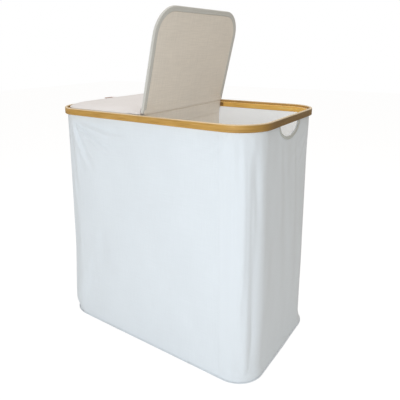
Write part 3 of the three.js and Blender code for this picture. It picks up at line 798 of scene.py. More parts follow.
def moulded_plastic():
    """Injection-moulded polypropylene with a fine spark-eroded grain."""
    return flecked("moulded_polypropylene", colours().socket, 0.03, 0.8 * MM, 0.55, 0.05 * MM)


def lacquered_steel():
    """Pressed steel under a bronze lacquer, a little cloudy, as brown as the bamboo beside it."""
    return flecked("bronze_lacquered_steel", colours().steel, 0.08, 4 * MM, 0.45, 0.02 * MM, 0.6)


def bamboo_bar():
    """The centre bar is planed from the same bamboo; its fibres run along Y."""
    return flecked("planed_bamboo", colours().bamboo, 0.22, 1.6 * MM, 0.5, 0.1 * MM, 0, (1, 0.03, 1))


def sewing_thread():
    """Spun polyester thread, twisted from two plies."""
    return flecked("polyester_thread", colours().thread, 0.08, 0.6 * MM, 0.7, 0.05 * MM)


MADE = {}


def material_of(maker, *words):
    """Each material is made once and shared."""
    key = (maker.__name__, *words)
    if key not in MADE:
        MADE[key] = maker(*words)
    return MADE[key]


def dress(piece, *materials):
    piece.data.materials.clear()
    for material in materials:
        piece.data.materials.append(material)


def place_piece(piece, body, slot, *nodes):
    """The piece rides on a body and stands for the nodes; slot is not used."""
    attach(piece, body)
    if nodes:
        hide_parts(*nodes)


def dress_and_place(piece, maker, body, slot, *nodes, angle=50):
    """Shades the piece smooth but for edges sharper than angle, dresses it and puts it in its place."""
    smooth(piece, angle)
    dress(piece, material_of(maker))
    place_piece(piece, body, slot, *nodes)


# Sewing

# From a seam or an edge to the stitches beside it
STITCH_FROM_EDGE = 3 * MM

# One stitch is a flat hexagonal bead whose ends dip into the cloth: points along it, across it and up
STITCH_POINTS = (
    (0.0, 0.0, -0.4), (0.22, 1.0, 0.2), (0.22, -1.0, 0.2), (0.3, 0.0, 1.0),
    (0.78, 1.0, 0.2), (0.78, -1.0, 0.2), (0.7, 0.0, 1.0), (1.0, 0.0, -0.4),
)
STITCH_FACES = ((0, 2, 3), (0, 3, 1), (2, 5, 6, 3), (3, 6, 4, 1), (5, 7, 6), (6, 7, 4), (0, 1, 4, 7, 5, 2))


def stitch_row(name, line, outward, body, slot):
    """A row of stitches along a line of points, each lying on the cloth."""
    s = sizes()
    line = np.asarray(line, float)
    steps = np.linalg.norm(np.diff(line, axis=0), axis=1)
    travelled = np.concatenate([[0], np.cumsum(steps)])
    pitch = s.stitch + s.stitch_gap
    starts = np.arange(pitch / 2, travelled[-1] - s.stitch, pitch)
    place = [np.interp(starts + d, travelled, line[:, k]) for d in (0, s.stitch) for k in range(3)]
    first, last = np.stack(place[:3], axis=1), np.stack(place[3:], axis=1)
    up = np.stack([np.interp(starts, travelled, outward[:, k]) for k in range(3)], axis=1)
    along = last - first
    across = np.cross(up, along / np.linalg.norm(along, axis=1)[:, None])
    half = s.thread / 2
    points, faces = [], []
    for k in range(len(starts)):
        faces += [[len(points) + i for i in face] for face in STITCH_FACES]
        points += [first[k] + t * along[k] + a * half * across[k] + b * half * up[k]
                   for t, a, b in STITCH_POINTS]
    row = hand_built(name, points, faces)
    face_outwards(row)
    dress(row, material_of(sewing_thread))
    place_piece(row, body, slot)
    return row


# The rim

# Tone of each hoop, tone of the painted shade on its ends, and share of the painted highlight along its top
# edge. The inner hoop's tone is raised as painted light, for the light that falls into the bins; its bends
# do not show and get no painted shade.
HOOP_FINISHES = {"outer": (1.06, 0.38, 0.75), "inner": (1.9, 1.0, 0.1)}
LEFT_HALF_SHADE = 0.97


def rim_places(points, top):
    """Where each point lies along the rim: distance round, inset and depth under the hoop's top."""
    corner = sizes().rim_corner
    x, y = np.abs(points[:, 0]), points[:, 1]
    beyond = np.maximum(x - straight_run(), 0)
    past = np.maximum(np.abs(y) - end_run(), 0)
    radius = np.hypot(beyond, past)
    angle = np.arctan2(beyond, past)
    at_end = np.abs(y) < end_run()
    bend = corner * angle
    along = np.where(at_end & (x > straight_run()), straight_run() + corner * math.pi / 2 + (
        end_run() - np.abs(y)), np.minimum(x, straight_run()) + bend)
    along = np.where(y > 0, 2 * (straight_run() + end_run()) + corner * math.pi - along, along)
    return np.stack([along, corner - radius, top - points[:, 2]], axis=1)


def select_edges(piece, test):
    """Selects, in edit mode, the edges whose end points and angle pass the test."""
    bpy.ops.mesh.select_all(action="DESELECT")
    mesh = bmesh.from_edit_mesh(piece.data)
    for edge in mesh.edges:
        if len(edge.link_faces) == 2 and test(edge):
            edge.select_set(True)
    bmesh.update_edit_mesh(piece.data)


def bent_strip(name, inset, thickness, low, high):
    """Half of a hoop: a section drawn along the front, round the corner, along the end and back."""
    s = sizes()
    start = s.fit_gap / 2
    middle = (start, -RIM_HIGH.y + inset + thickness / 2, (low + high) / 2)
    deselect_all()
    bpy.ops.mesh.primitive_plane_add(size=1, location=middle, rotation=(0, math.pi / 2, 0))
    strip = bpy.context.object
    bpy.ops.object.transform_apply(location=True, rotation=True, scale=True)
    bpy.ops.object.mode_set(mode="EDIT")
    bpy.ops.mesh.select_all(action="SELECT")
    bpy.ops.transform.resize(value=(1, thickness, high - low), center_override=middle)
    quarter = {"steps": 28, "angle": -math.pi / 2, "axis": (0, 0, 1)}
    run = straight_run() - start
    bpy.ops.mesh.extrude_region_move(TRANSFORM_OT_translate={"value": (run, 0, 0)})
    bpy.ops.mesh.spin(center=(straight_run(), -end_run(), middle[2]), **quarter)
    bpy.ops.mesh.extrude_region_move(TRANSFORM_OT_translate={"value": (0, 2 * end_run(), 0)})
    bpy.ops.mesh.spin(center=(straight_run(), end_run(), middle[2]), **quarter)
    bpy.ops.mesh.extrude_region_move(TRANSFORM_OT_translate={"value": (-run, 0, 0)})
    bpy.ops.mesh.select_all(action="SELECT")
    bpy.ops.mesh.remove_doubles(threshold=0.001 * MM)
    bpy.ops.mesh.normals_make_consistent(inside=False)
    square = math.radians(60)
    select_edges(strip, lambda edge: edge.calc_face_angle() > square and not all(
        v.co.x < start + 0.01 * MM for v in edge.verts))
    bpy.ops.mesh.bevel(offset=s.hoop_rounding, segments=4, affect="EDGES", profile=0.5)
    select_edges(strip, lambda edge: edge.calc_face_angle() > square and all(
        v.co.x < start + 0.01 * MM for v in edge.verts))
    bpy.ops.mesh.bevel(offset=s.butt_rounding, segments=2, affect="EDGES", profile=0.5)
    bpy.ops.object.mode_set(mode="OBJECT")
    return settle(strip, name)


class HAMPER_OT_rim(Operator):
    """Bends the outer and inner bamboo hoops, each in two halves that meet at the front and the back"""

    bl_idname = "hamper.rim"
    bl_label = "Bamboo rim"

    def execute(self, context):
        s = sizes()
        hoops = (
            ("outer", 0.0, s.outer_hoop, HOOP_LOW, RIM_HIGH.z),
            ("inner", s.inner_hoop_inset, s.inner_hoop, INNER_HOOP_LOW.z, INNER_HOOP_HIGH.z),
        )
        for hoop, inset, thickness, low, high in hoops:
            right = bent_strip(f"{hoop}_hoop_right", inset, thickness, low, high)
            left = half_turned(right, f"{hoop}_hoop_left")
            # The second value darkens the hoop's ends as painted shade and the third pales its top edge as
            # a painted highlight; the inner hoop's tone is raised as painted light.
            tone, end_shade, cut = HOOP_FINISHES[hoop]
            for side, piece, share in (("right", right, 1.0), ("left", left, LEFT_HALF_SHADE)):
                keep_surface_places(piece, "grain", rim_places(points_of(piece), high))
                smooth(piece)
                name = f"varnished_bamboo_{hoop}_{side}"
                dress(piece, material_of(varnished_bamboo, name, share * tone, end_shade, cut))
                place_piece(piece, BODY, "bamboo", f"rim_{hoop}_hoop_{side}")
        return {"FINISHED"}


# The cloth body

# Cloth turned in at each edge of a panel. A turned edge stays just clear of the seam, and rounds in by the
# tuck over a short run.
SEAM_PLAY = 0.05 * MM
SEAM_TUCK = 0.22 * MM
SEAM_TUCK_RUN = 1.4 * MM

# Distance between two columns of a panel's points, and from a seam to the closer ones beside it
PANEL_STEP = 3.6 * MM
PANEL_EDGE = (0.9 * MM, 2.0 * MM, 3.6 * MM)

# Heights over the wall's lowest row at which the rows lie closer together, in mm, and number of even rows
ROWS_AT_BASE = (0, 1.5, 4, 7.5, 12, 17, 22)
EVEN_ROWS = 150


def hand_hole():
    """Half the width and the full depth of a hand hole, inside its hem."""
    margin = sizes().hem_width
    return HEM_HIGH.y - margin, HEM_HIGH.z - HEM_LOW.z - margin


def hand_hole_cutter():
    """A D-shaped prism through the right end wall, flat side up under the hoop."""
    half_width, drop = hand_hole()
    middle = (straight_run(), 0, HEM_HIGH.z)
    deselect_all()
    bpy.ops.mesh.primitive_circle_add(
        vertices=96, radius=1, fill_type="NGON", location=middle, rotation=(0, math.pi / 2, 0))
    cutter = bpy.context.object
    bpy.ops.object.transform_apply(location=True, rotation=True, scale=True)
    bpy.ops.object.mode_set(mode="EDIT")
    bpy.ops.mesh.select_all(action="SELECT")
    bpy.ops.transform.resize(value=(1, half_width, drop), center_override=middle)
    bpy.ops.mesh.bisect(plane_co=middle, plane_no=(0, 0, 1), use_fill=False, clear_outer=True)
    bpy.ops.mesh.select_all(action="SELECT")
    bpy.ops.mesh.extrude_region_move(TRANSFORM_OT_translate={"value": (2 * sizes().rim_corner, 0, 0)})
    bpy.ops.object.mode_set(mode="OBJECT")
    face_outwards(cutter)
    return cutter


def cut_hand_hole(piece, sign):
    cutter = hand_hole_cutter()
    if sign < 0:
        half_turn(cutter)
    cut = piece.modifiers.new("Hand hole", "BOOLEAN")
    cut.operation = "DIFFERENCE"
    cut.solver = "EXACT"
    cut.object = cutter
    apply_modifiers(piece)
    bpy.data.objects.remove(cutter)


def wall_rows():
    """Heights of the rows of the cloth wall, closer together at the base and under the rim."""
    low, top = PANEL_LOW.z, PANEL_HIGH.z
    base = [low + d * MM for d in ROWS_AT_BASE]
    even = list(np.linspace(low + 27 * MM, HOOP_LOW - 8 * MM, EVEN_ROWS))
    return base + even + [HOOP_LOW - 3 * MM, HOOP_LOW + 1 * MM, top]


def body_panel(name, low, high):
    """One cloth panel between two seams. Its edges turn in a little and all but meet the next panel's."""
    s = sizes()
    first, last = low + SEAM_PLAY, high - SEAM_PLAY

    def place(u, v):
        edge = np.minimum(u - first, last - u)
        out = fold_depth(u, v) - SEAM_TUCK * np.exp(-(edge / SEAM_TUCK_RUN) ** 2)
        return wall_point(u, v, out)

    panel = cloth_grid(name, stops(first, last, PANEL_STEP, PANEL_EDGE), wall_rows(), place)
    thicken(panel, s.body_cloth)
    return panel


def seam_stitches(name, seam, way):
    """The topstitching to one side of a seam."""
    heights = np.linspace(8 * MM, HOOP_LOW - 2 * MM, 240)
    beside = np.full_like(heights, seam + way * STITCH_FROM_EDGE)
    out = fold_depth(beside, heights)
    on_cloth = wall_point(beside, heights, out)
    outward = wall_point(beside, heights, out + 1) - on_cloth
    return stitch_row(name, on_cloth, outward, BODY, "body_cloth")


class HAMPER_OT_body(Operator):
    """Sews the body from four panels of canvas and cuts the hand holes"""

    bl_idname = "hamper.body"
    bl_label = "Cloth body"

    def execute(self, context):
        seams = seam_places()
        # Each panel, and the sign of the end where it has a hand hole
        panels = (("front_panel", 0), ("right_end_panel", 1), ("back_panel", 0), ("left_end_panel", -1))
        for (name, sign), low, high in zip(panels, seams, seams[1:]):
            cloth = body_panel(f"{name}_cloth", low, high)
            if sign:
                cut_hand_hole(cloth, sign)
            dress_and_place(cloth, body_canvas, BODY, "body_cloth", name)
            stitches = seam_stitches(f"{name}_stitches", high, -1 if sign else 1)
        return {"FINISHED"}


# The binding's section round the cut edge of the body cloth, as margin outside the hole and height
# over the cloth's outer face, in mm: over the outside, round the edge and a little way up the inside
BINDING = (
    (6.2, 0.32), (6.1, 0.8), (5.7, 1.12), (4.6, 1.25), (3.0, 1.30), (1.4, 1.28), (0.3, 1.1),
    (-0.6, 0.5), (-0.9, -0.5), (-0.6, -1.5), (0.4, -2.1), (2.6, -2.15), (2.6, -1.6),
    (0.6, -1.55), (-0.1, -1.2), (-0.3, -0.5), (-0.1, 0.1), (0.4, 0.32), (3.0, 0.33),
)
# The point of the section that is stitched
STITCHED_POINT = 4


def hem_binding(name, sign):
    """Bias tape folded over the edge of a hand hole."""
    half_width, drop = hand_hole()
    angles = np.linspace(0, math.pi, 64)[:, None]
    margin, out = np.array(BINDING).T * MM
    u = end_middle(sign) + (half_width + margin) * np.cos(angles)
    v = np.minimum(HEM_HIGH.z - (drop + margin) * np.sin(angles), HEM_HIGH.z)
    rings = wall_point(u, v, out + fold_depth(u, v))
    count, size = u.shape
    faces = skin_faces(count, size) + [ring_face(0, size), ring_face(count - 1, size)]
    hem = hand_built(name, rings.reshape(-1, 3), faces)
    face_outwards(hem)
    along = np.broadcast_to(angles * (half_width + drop) / 2, u.shape)
    across = np.broadcast_to(margin + out, u.shape)
    keep_surface_places(hem, "cloth", np.stack([along, across, np.zeros_like(u)], axis=-1))
    outward = rings[:, STITCHED_POINT] - rings[:, -1]
    outward = outward / np.linalg.norm(outward, axis=1)[:, None]
    return hem, rings[:, STITCHED_POINT], outward


class HAMPER_OT_hems(Operator):
    """Binds the cut edge of each hand hole with tape"""

    bl_idname = "hamper.hems"
    bl_label = "Hand hole hems"

    def execute(self, context):
        for side, sign in HALVES:
            hem, line, outward = hem_binding(f"{side}_hem_binding", sign)
            dress_and_place(hem, hem_tape, BODY, "hem_cloth", f"{side}_hand_hole_hem")
            stitches = stitch_row(f"{side}_hem_stitches", line, outward, BODY, "hem_cloth")
        return {"FINISHED"}


# The base

# The piping: distance between its sections, share by which it swells, and distance for one radian of the
# swell's wave
PIPING_STEP = 6 * MM
PIPING_SWELL = 0.05
PIPING_WAVE = 9 * MM


class HAMPER_OT_base(Operator):
    """Cuts the bottom cloth and rolls the piping along its edge"""

    bl_idname = "hamper.base"
    bl_label = "Bottom cloth and piping"

    def execute(self, context):
        self.bottom()
        self.piping()
        return {"FINISHED"}

    def bottom(self):
        s = sizes()
        deselect_all()
        bpy.ops.mesh.primitive_plane_add(size=2, location=(0, 0, BASE.z))
        cloth = bpy.context.object
        bpy.ops.object.mode_set(mode="EDIT")
        bpy.ops.transform.resize(value=(BASE.x, BASE.y, 1), center_override=(0, 0, BASE.z))
        bpy.ops.mesh.bevel(offset=s.base_corner, segments=18, affect="VERTICES", profile=0.5)
        bpy.ops.object.mode_set(mode="OBJECT")
        settle(cloth, "bottom_cloth_sheet")
        thicken(cloth, BASE.z)
        keep_surface_places(cloth, "cloth", points_of(cloth))
        dress_and_place(cloth, body_canvas, BODY, "body_cloth", "bottom_cloth", angle=40)

    def piping(self):
        radius = (PIPING_HIGH.z - PIPING_LOW.z) / 2
        level = (PIPING_HIGH.z + PIPING_LOW.z) / 2
        u = np.arange(0, 2 * wall_half(), PIPING_STEP)[:, None]
        angles = np.linspace(0, 2 * math.pi, 10, endpoint=False)
        # The cord inside shows through its cover as a slow swell
        swell = radius * (1 + PIPING_SWELL * np.sin(u / PIPING_WAVE))
        out = sizes().fit_gap + radius + base_flare(u) + swell * np.cos(angles)
        count, size = out.shape
        u = np.broadcast_to(u, out.shape)
        rings = wall_point(u, np.zeros_like(out), out)
        rings[..., 2] = level + radius * np.sin(angles)
        cord = hand_built("base_piping", rings.reshape(-1, 3), skin_faces(count, size, closed=True))
        face_outwards(cord)
        round_cord = np.broadcast_to(radius * angles, out.shape)
        keep_surface_places(cord, "cloth", np.stack([u, round_cord, np.zeros_like(out)], axis=-1))
        dress_and_place(cord, body_canvas, BODY, "body_cloth", "bottom_piping", angle=60)


# Inside

# The lining's slow unevenness and its finer one, how far from the floor and the top they are full, and how
# far a second outline on the floor is set in
LINING_SLOW = 0.5 * MM
LINING_FINE = 0.35 * MM
LINING_CALM = 40 * MM
LINING_FLOOR_EDGE = 22 * MM

# The divider: radius of its edges, their room without cuts, rows and columns, and how far it is off flat
DIVIDER_ROUNDING = 1.4 * MM
DIVIDER_EDGE = 3 * MM
DIVIDER_ROWS = 24
DIVIDER_COLUMNS = 16
DIVIDER_BOW = 0.9 * MM

# Radius of the bar sleeve's lower edges
SLEEVE_ROUNDING = 2.4 * MM


def lining_plan_point(u, v):
    """A point of the right bin's lining: u is a share from the front end of the divider to the back one."""
    s = sizes()
    half_width, half_depth, corner = wall_plan(v)
    open_up = ease(v, LINING_HIGH.z - s.lining_funnel, LINING_HIGH.z)
    radius = s.lining_corner + (corner - s.lining_corner) * open_up - s.lining_inset
    half_width = half_width - s.lining_inset
    half_depth = half_depth - s.lining_inset
    start = LINING_LOW.x
    run = half_width - radius - start
    arc = radius * math.pi / 2
    end = 2 * (half_depth - radius)
    marks = [0 * run, run, run + arc, run + arc + end, run + 2 * arc + end, 2 * (run + arc) + end]
    along = u * marks[5]
    front, near, side, far, back = [
        np.clip((along - a) / (b - a), 0, 1) for a, b in zip(marks[:5], marks[1:])]
    angle = -math.pi / 2 + (near + far) * math.pi / 2
    soft = LINING_SLOW * np.sin(19 * u + 3) * np.sin(math.pi * np.clip(v / LINING_HIGH.z, 0, 1))
    soft = soft + LINING_FINE * np.sin(47 * u + 4 * v / 0.3)
    soft = soft * ease(LINING_HIGH.z - v, 0, LINING_CALM) * ease(
        v, LINING_LOW.z, LINING_LOW.z + LINING_CALM)
    x = start + run * (front - back) + (radius - np.abs(soft)) * np.cos(angle)
    y = -(half_depth - radius) + end * side + (radius - np.abs(soft)) * np.sin(angle)
    return np.stack([x, y, v], axis=-1)


def bin_lining(side, sign):
    """A bag of thin cloth with a floor and three walls. The divider is its fourth side."""
    low = LINING_LOW.z
    rows = [low, low + 4 * MM, low + 12 * MM] + list(np.linspace(low + 30 * MM, LINING_HIGH.z, 44))
    bag = cloth_grid(f"{side}_bin_lining_cloth", np.linspace(0, 1, 121), rows, lining_plan_point)
    bpy.ops.object.mode_set(mode="EDIT")
    select_border(bag, lambda point: point.z < low + 0.01 * MM)
    bpy.ops.mesh.edge_face_add()
    bpy.ops.mesh.inset(thickness=LINING_FLOOR_EDGE)
    bpy.ops.mesh.select_all(action="SELECT")
    bpy.ops.mesh.normals_make_consistent(inside=False)
    bpy.ops.object.mode_set(mode="OBJECT")
    if bag.data.polygons[0].normal.y > 0:
        pick(bag)
        bpy.ops.object.mode_set(mode="EDIT")
        bpy.ops.mesh.select_all(action="SELECT")
        bpy.ops.mesh.flip_normals()
        bpy.ops.object.mode_set(mode="OBJECT")
    if sign < 0:
        half_turn(bag)
    thicken(bag, sizes().lining_cloth)
    cut_hand_hole(bag, sign)
    return bag


def select_border(piece, test):
    """Selects, in edit mode, the open edges whose end points pass the test."""
    bpy.ops.mesh.select_mode(type="EDGE")
    bpy.ops.mesh.select_all(action="DESELECT")
    mesh = bmesh.from_edit_mesh(piece.data)
    for edge in mesh.edges:
        if len(edge.link_faces) == 1 and all(test(v.co) for v in edge.verts):
            edge.select_set(True)
    bmesh.update_edit_mesh(piece.data)


class HAMPER_OT_linings(Operator):
    """Hangs a smooth lining in each bin"""

    bl_idname = "hamper.linings"
    bl_label = "Bin linings"

    def execute(self, context):
        for side, sign in HALVES:
            bag = bin_lining(side, sign)
            dress_and_place(bag, lining_taffeta, BODY, "lining_cloth", f"{side}_bin_lining")
        return {"FINISHED"}


def strip_along_y(name, path, half, step, thickness=0.0, offset=-1.0, rise=None):
    """Cloth strip: a path of (x, z) points drawn along Y, for half to each side, with the distance along
    it kept. rise gives how far a point is moved along X and Z, from its place in the path and its y."""
    path = np.asarray(path, float)
    steps = np.linalg.norm(np.diff(path, axis=0), axis=1)
    travelled = np.concatenate([[0], np.cumsum(steps)])

    def place(u, v):
        number = np.interp(u, travelled, np.arange(len(path)))
        x, z = rise(number, v) if rise else (0, 0)
        return np.stack([np.interp(u, travelled, path[:, 0]) + x, v, np.interp(
            u, travelled, path[:, 1]) + z], axis=-1)

    strip = cloth_grid(name, travelled, np.linspace(-half, half, round(2 * half / step)), place)
    if thickness:
        thicken(strip, thickness, offset)
    return strip


def bend(x, z, radius, start, end, count=8):
    """Points on an arc in the XZ plane, angles in degrees from +X towards +Z."""
    angles = np.radians(np.linspace(start, end, count))
    return [(x + radius * math.cos(a), z + radius * math.sin(a)) for a in angles]


class HAMPER_OT_divider(Operator):
    """Covers the divider and the centre bar with beige cloth"""

    bl_idname = "hamper.divider"
    bl_label = "Divider and bar sleeve"

    def execute(self, context):
        self.divider()
        self.sleeve()
        return {"FINISHED"}

    def divider(self):
        half = DIVIDER_HIGH.x
        middle = (0, 0, (DIVIDER_LOW.z + DIVIDER_HIGH.z) / 2)
        size = (2 * half, 2 * DIVIDER_HIGH.y, DIVIDER_HIGH.z - DIVIDER_LOW.z)
        deselect_all()
        bpy.ops.mesh.primitive_cube_add(size=1, location=middle)
        panel = bpy.context.object
        bpy.ops.object.mode_set(mode="EDIT")
        bpy.ops.transform.resize(value=size, center_override=middle)
        bpy.ops.mesh.bevel(offset=DIVIDER_ROUNDING, segments=3, affect="EDGES", profile=0.5)
        # Rows of points up and across, so that the cloth can swell
        edge = DIVIDER_EDGE
        cuts = (
            (DIVIDER_LOW.z, size[2], DIVIDER_ROWS, Vector((0, 0, 1))),
            (-DIVIDER_HIGH.y, size[1], DIVIDER_COLUMNS, Vector((0, 1, 0))),
        )
        for low, run, count, way in cuts:
            for number in range(1, count):
                place = low + edge + (run - 2 * edge) * number / count
                bpy.ops.mesh.select_all(action="SELECT")
                bpy.ops.mesh.bisect(plane_co=place * way, plane_no=way)
        bpy.ops.object.mode_set(mode="OBJECT")
        settle(panel, "divider_cloth")
        points = points_of(panel)
        # The stiff sheet inside is not quite flat
        inside = np.clip(1 - np.abs(points[:, 1] / DIVIDER_HIGH.y) ** 4, 0, 1)
        rise = (points[:, 2] - DIVIDER_LOW.z) / size[2]
        points[:, 0] += DIVIDER_BOW * inside * np.sin(math.pi * rise) * np.sin(
            5 * rise + points[:, 1] / (55 * MM))
        set_points(panel, points)
        keep_surface_places(panel, "cloth", points[:, [1, 2, 0]])
        dress_and_place(panel, beige_linen, BODY, "divider_cloth", "divider")

    def sleeve(self):
        half, top, low = SLEEVE_HIGH.x, SLEEVE_HIGH.z, SLEEVE_LOW.z
        corner = SLEEVE_ROUNDING
        heights = [top - 0.2 * MM, *np.linspace(top - 4 * MM, low + corner, 3)]
        path = [(-half, z) for z in heights]
        path += bend(-half + corner, low + corner, corner, 180, 270)
        path += bend(half - corner, low + corner, corner, 270, 360)
        path += [(half, z) for z in reversed(heights)]
        cloth = strip_along_y("bar_sleeve_cloth", path, SLEEVE_HIGH.y, 8 * MM, sizes().sleeve_cloth, 1.0)
        dress_and_place(cloth, beige_linen, BODY, "divider_cloth", "centre_bar_sleeve", angle=60)


# Lids

# What lies under a lid's cover: the board and the room for the beige panel
LID_BOARD = 3 * MM
LID_LINING = 1.5 * MM

# Points round each corner of a lid's outline, and stretches between two corners
CORNER_POINTS = 13
SIDE_STRETCHES = 14

# The pull tab: length, width, distance from the lid's free edge, radius of its fold, and how far the fold
# stands off the lid
TAB_LENGTH = 17 * MM
TAB_WIDTH = 30 * MM
TAB_FROM_EDGE = 4 * MM
TAB_FOLD = 0.85 * MM
TAB_RISE = 3.2 * MM


def lid_length():
    return LEFT_LID_HIGH.x - LEFT_LID_LOW.x


def lid_reach(side):
    """The closed lid's padding spreads over the inner hoop towards the end of the rim."""
    return sizes().lid_spread if side == "left" else 0.0


def open_angle(side):
    """How far the lid stands open at rest, from its joint's limits."""
    low = HINGES[f"{side}_lid"]["range_deg"][0]
    return math.radians(-low) if side == "right" else 0.0


def hinge_place(side):
    return Vector(HINGES[f"{side}_lid"]["pos_m"])


def lid_to_hamper(points, side):
    """From the lid's own places (from the hinge, along it, over the top edge) to the hamper's."""
    points = np.asarray(points, float)
    angle = open_angle(side)
    u, v, w = points[..., 0], points[..., 1], points[..., 2]
    x = abs(hinge_place(side).x) + u * math.cos(angle) - w * math.sin(angle)
    z = hinge_place(side).z + u * math.sin(angle) + w * math.cos(angle)
    sign = 1 if side == "right" else -1
    return np.stack([sign * x, sign * v, z], axis=-1)


def lid_outline(side, inset, hinge_inset=None):
    """The lid's outline at an inset, with another inset along the hinge edge if one is given."""
    s = sizes()
    half = LEFT_LID_HIGH.y - inset
    high = lid_length() + s.fit_gap + lid_reach(side) - inset
    low = s.fit_gap + (max(inset - s.lid_rounding, 0) if hinge_inset is None else hinge_inset)
    far = max(min(s.lid_corner - inset, half), 1 * MM)
    near = max(min(s.lid_hinge_corner - inset, half), 1 * MM)
    room = high - low
    if far + near > room:
        far, near = room / 2, room / 2
    corners = (
        (low + near, near - half, near, 180), (high - far, far - half, far, 270),
        (high - far, half - far, far, 0), (low + near, half - near, near, 90))
    loop = []
    for number, (x, y, radius, start) in enumerate(corners):
        arc = bend(x, y, radius, start, start + 90, CORNER_POINTS)
        following = corners[(number + 1) % 4]
        target = bend(*following[:3], following[3], following[3] + 90, 2)[0]
        loop += arc
        loop += [tuple(np.array(arc[-1]) + (np.array(target) - arc[-1]) * k / SIDE_STRETCHES)
                 for k in range(1, SIDE_STRETCHES)]
    return loop


def lid_wave(u, v):
    """Unevenness of the cloth over the board."""
    return folds().lid * (
        np.sin(u / (31 * MM) + 1) * np.sin(v / (43 * MM)) + 0.5 * np.sin(u / (17 * MM) - v / (29 * MM)))


def lid_underside():
    """Height of a lid's underside, counted from its top edge."""
    return LEFT_LID_LOW.z - LEFT_LID_HIGH.z + sizes().lid_crown


def lid_swell(inset):
    """How far the lid's top rises over its edge, at a distance from the edge."""
    s = sizes()
    return (s.lid_crown + s.lid_puff) * (1 - np.maximum(1 - inset / s.lid_crown_run, 0) ** 2)


def lid_cover(side):
    """A crowned, padded shell: top, rounded edge, and a band round the underside."""
    s = sizes()
    under = lid_underside()
    r = s.lid_rounding
    recess = LID_LINING + LID_BOARD + 2 * s.fit_gap
    band = s.lid_margin
    fold = s.lid_hinge_fold
    quarter = np.radians(np.linspace(0, 90, 6))
    # Each ring's inset, its height, 1 where the cloth is uneven, and its inset along the hinge edge
    profile = [
        (band, under + recess, 0, fold),
        (band, under + s.lid_recess + 0.4 * MM, 0, fold),
        (band - 0.5 * MM, under + 0.25 * MM, 0, 0.8 * fold),
        (band - 1.6 * MM, under, 0, 0.6 * fold),
        ((band + r) / 2, under, 0, 0.5 * fold),
    ]
    profile += [(r - r * math.sin(a), under + r - r * math.cos(a), 0, 0.4 * fold * math.cos(a))
                for a in quarter]
    bound = len(profile)
    profile += [(r - r * math.cos(a), -r + r * math.sin(a), 0, None) for a in quarter]
    insets = np.concatenate([np.linspace(5, 50, 10), np.linspace(58, 124, 9)]) * MM
    profile += [(inset, lid_swell(inset), 1, None) for inset in insets]
    rings, places = [], []
    for inset, w, soft, hinge_inset in profile:
        loop = np.array(lid_outline(side, inset, hinge_inset))
        wave = lid_wave(loop[:, 0], loop[:, 1]) * soft * min(inset / (20 * MM), 1)
        rings.append(np.column_stack([loop, w + wave]))
        places.append(np.column_stack([loop, np.full(len(loop), w)]))
    count, size = len(rings), len(rings[0])
    faces = skin_faces(count, size) + [ring_face(0, size)[::-1], ring_face(count - 1, size)]
    cover = hand_built(f"{side}_lid_cover_cloth", lid_to_hamper(np.concatenate(rings), side), faces)
    keep_surface_places(cover, "cloth", np.concatenate(places))
    face_outwards(cover)
    smooth(cover, 50)
    dress(cover, material_of(lid_canvas), material_of(binding_tape))
    for face in cover.data.polygons[:bound * size]:
        face.material_index = 1
    place_piece(cover, f"{side}_lid", "lid_cloth", f"{side}_lid_cover")


def lid_lining_panel(side):
    """The beige panel on the underside, from the hinge edge to the band round the other three edges."""
    s = sizes()
    edge, hinge_edge = s.lid_margin + s.fit_gap, s.lid_hinge_fold + s.fit_gap
    level = lid_underside() + s.lid_recess
    rings, places = [], []
    for inset in [0, 0.7, 1.6, *np.linspace(6, 104, 15)]:
        loop = np.array(lid_outline(side, edge + inset * MM, hinge_edge + inset * MM))
        dip = 0.45 * MM * math.exp(-(inset / 1.2) ** 2)
        wave = 0.6 * np.abs(lid_wave(loop[:, 0] * 1.3, loop[:, 1] * 1.2)) * min(inset / 10, 1)
        rings.append(np.column_stack([loop, level + dip + wave]))
        places.append(np.column_stack([loop, np.zeros(len(loop))]))
    count, size = len(rings), len(rings[0])
    faces = skin_faces(count, size) + [ring_face(count - 1, size)]
    panel = hand_built(f"{side}_lid_lining_cloth", lid_to_hamper(np.concatenate(rings), side), faces)
    keep_surface_places(panel, "cloth", np.concatenate(places))
    down = Vector(lid_to_hamper([[0, 0, -1]], side)[0] - lid_to_hamper([[0, 0, 0]], side)[0])
    if panel.data.polygons[-1].normal.dot(down) < 0:
        panel.data.flip_normals()
    thicken(panel, 0.8 * MM)
    dress_and_place(panel, beige_linen, f"{side}_lid", "lid_lining_cloth", f"{side}_lid_lining")


def pull_tab(side):
    """Ribbon folded double, sewn flat on the lid's top near its free edge. It is bare."""
    gap, run, edge = sizes().fit_gap, TAB_LENGTH, TAB_FROM_EDGE
    slope = math.atan2(lid_swell(edge + run) - lid_swell(edge), run)
    outer = lid_length() + gap + lid_reach(side) - edge
    lift = lid_swell(edge) + gap + 0.4 * MM
    path = [(-run + x * MM, 0.0) for x in (0, 4, 8, 12)]
    path += bend(-TAB_FOLD, TAB_FOLD, TAB_FOLD, -90, 90, 9)
    path += [(-run + x * MM, 2 * TAB_FOLD) for x in (12, 8, 4, 0.6)]
    # The fold stands a little off the lid, so that fingers can find it
    path = [(x, z + TAB_RISE * (1 + x / run) ** 2) for x, z in path]
    path = [(outer + x * math.cos(slope) + z * math.sin(slope),
             lift + z * math.cos(slope) - x * math.sin(slope)) for x, z in path]
    tab = strip_along_y(f"{side}_tab_ribbon", path, TAB_WIDTH / 2, 2.5 * MM)
    points = points_of(tab)
    points[:, 2] += 0.2 * MM * np.sin(points[:, 1] / (6 * MM))
    set_points(tab, lid_to_hamper(points, side))
    thicken(tab, 0.5 * MM, 0.0)
    dress_and_place(tab, ribbon, f"{side}_lid", "tab", f"{side}_lid_tab")


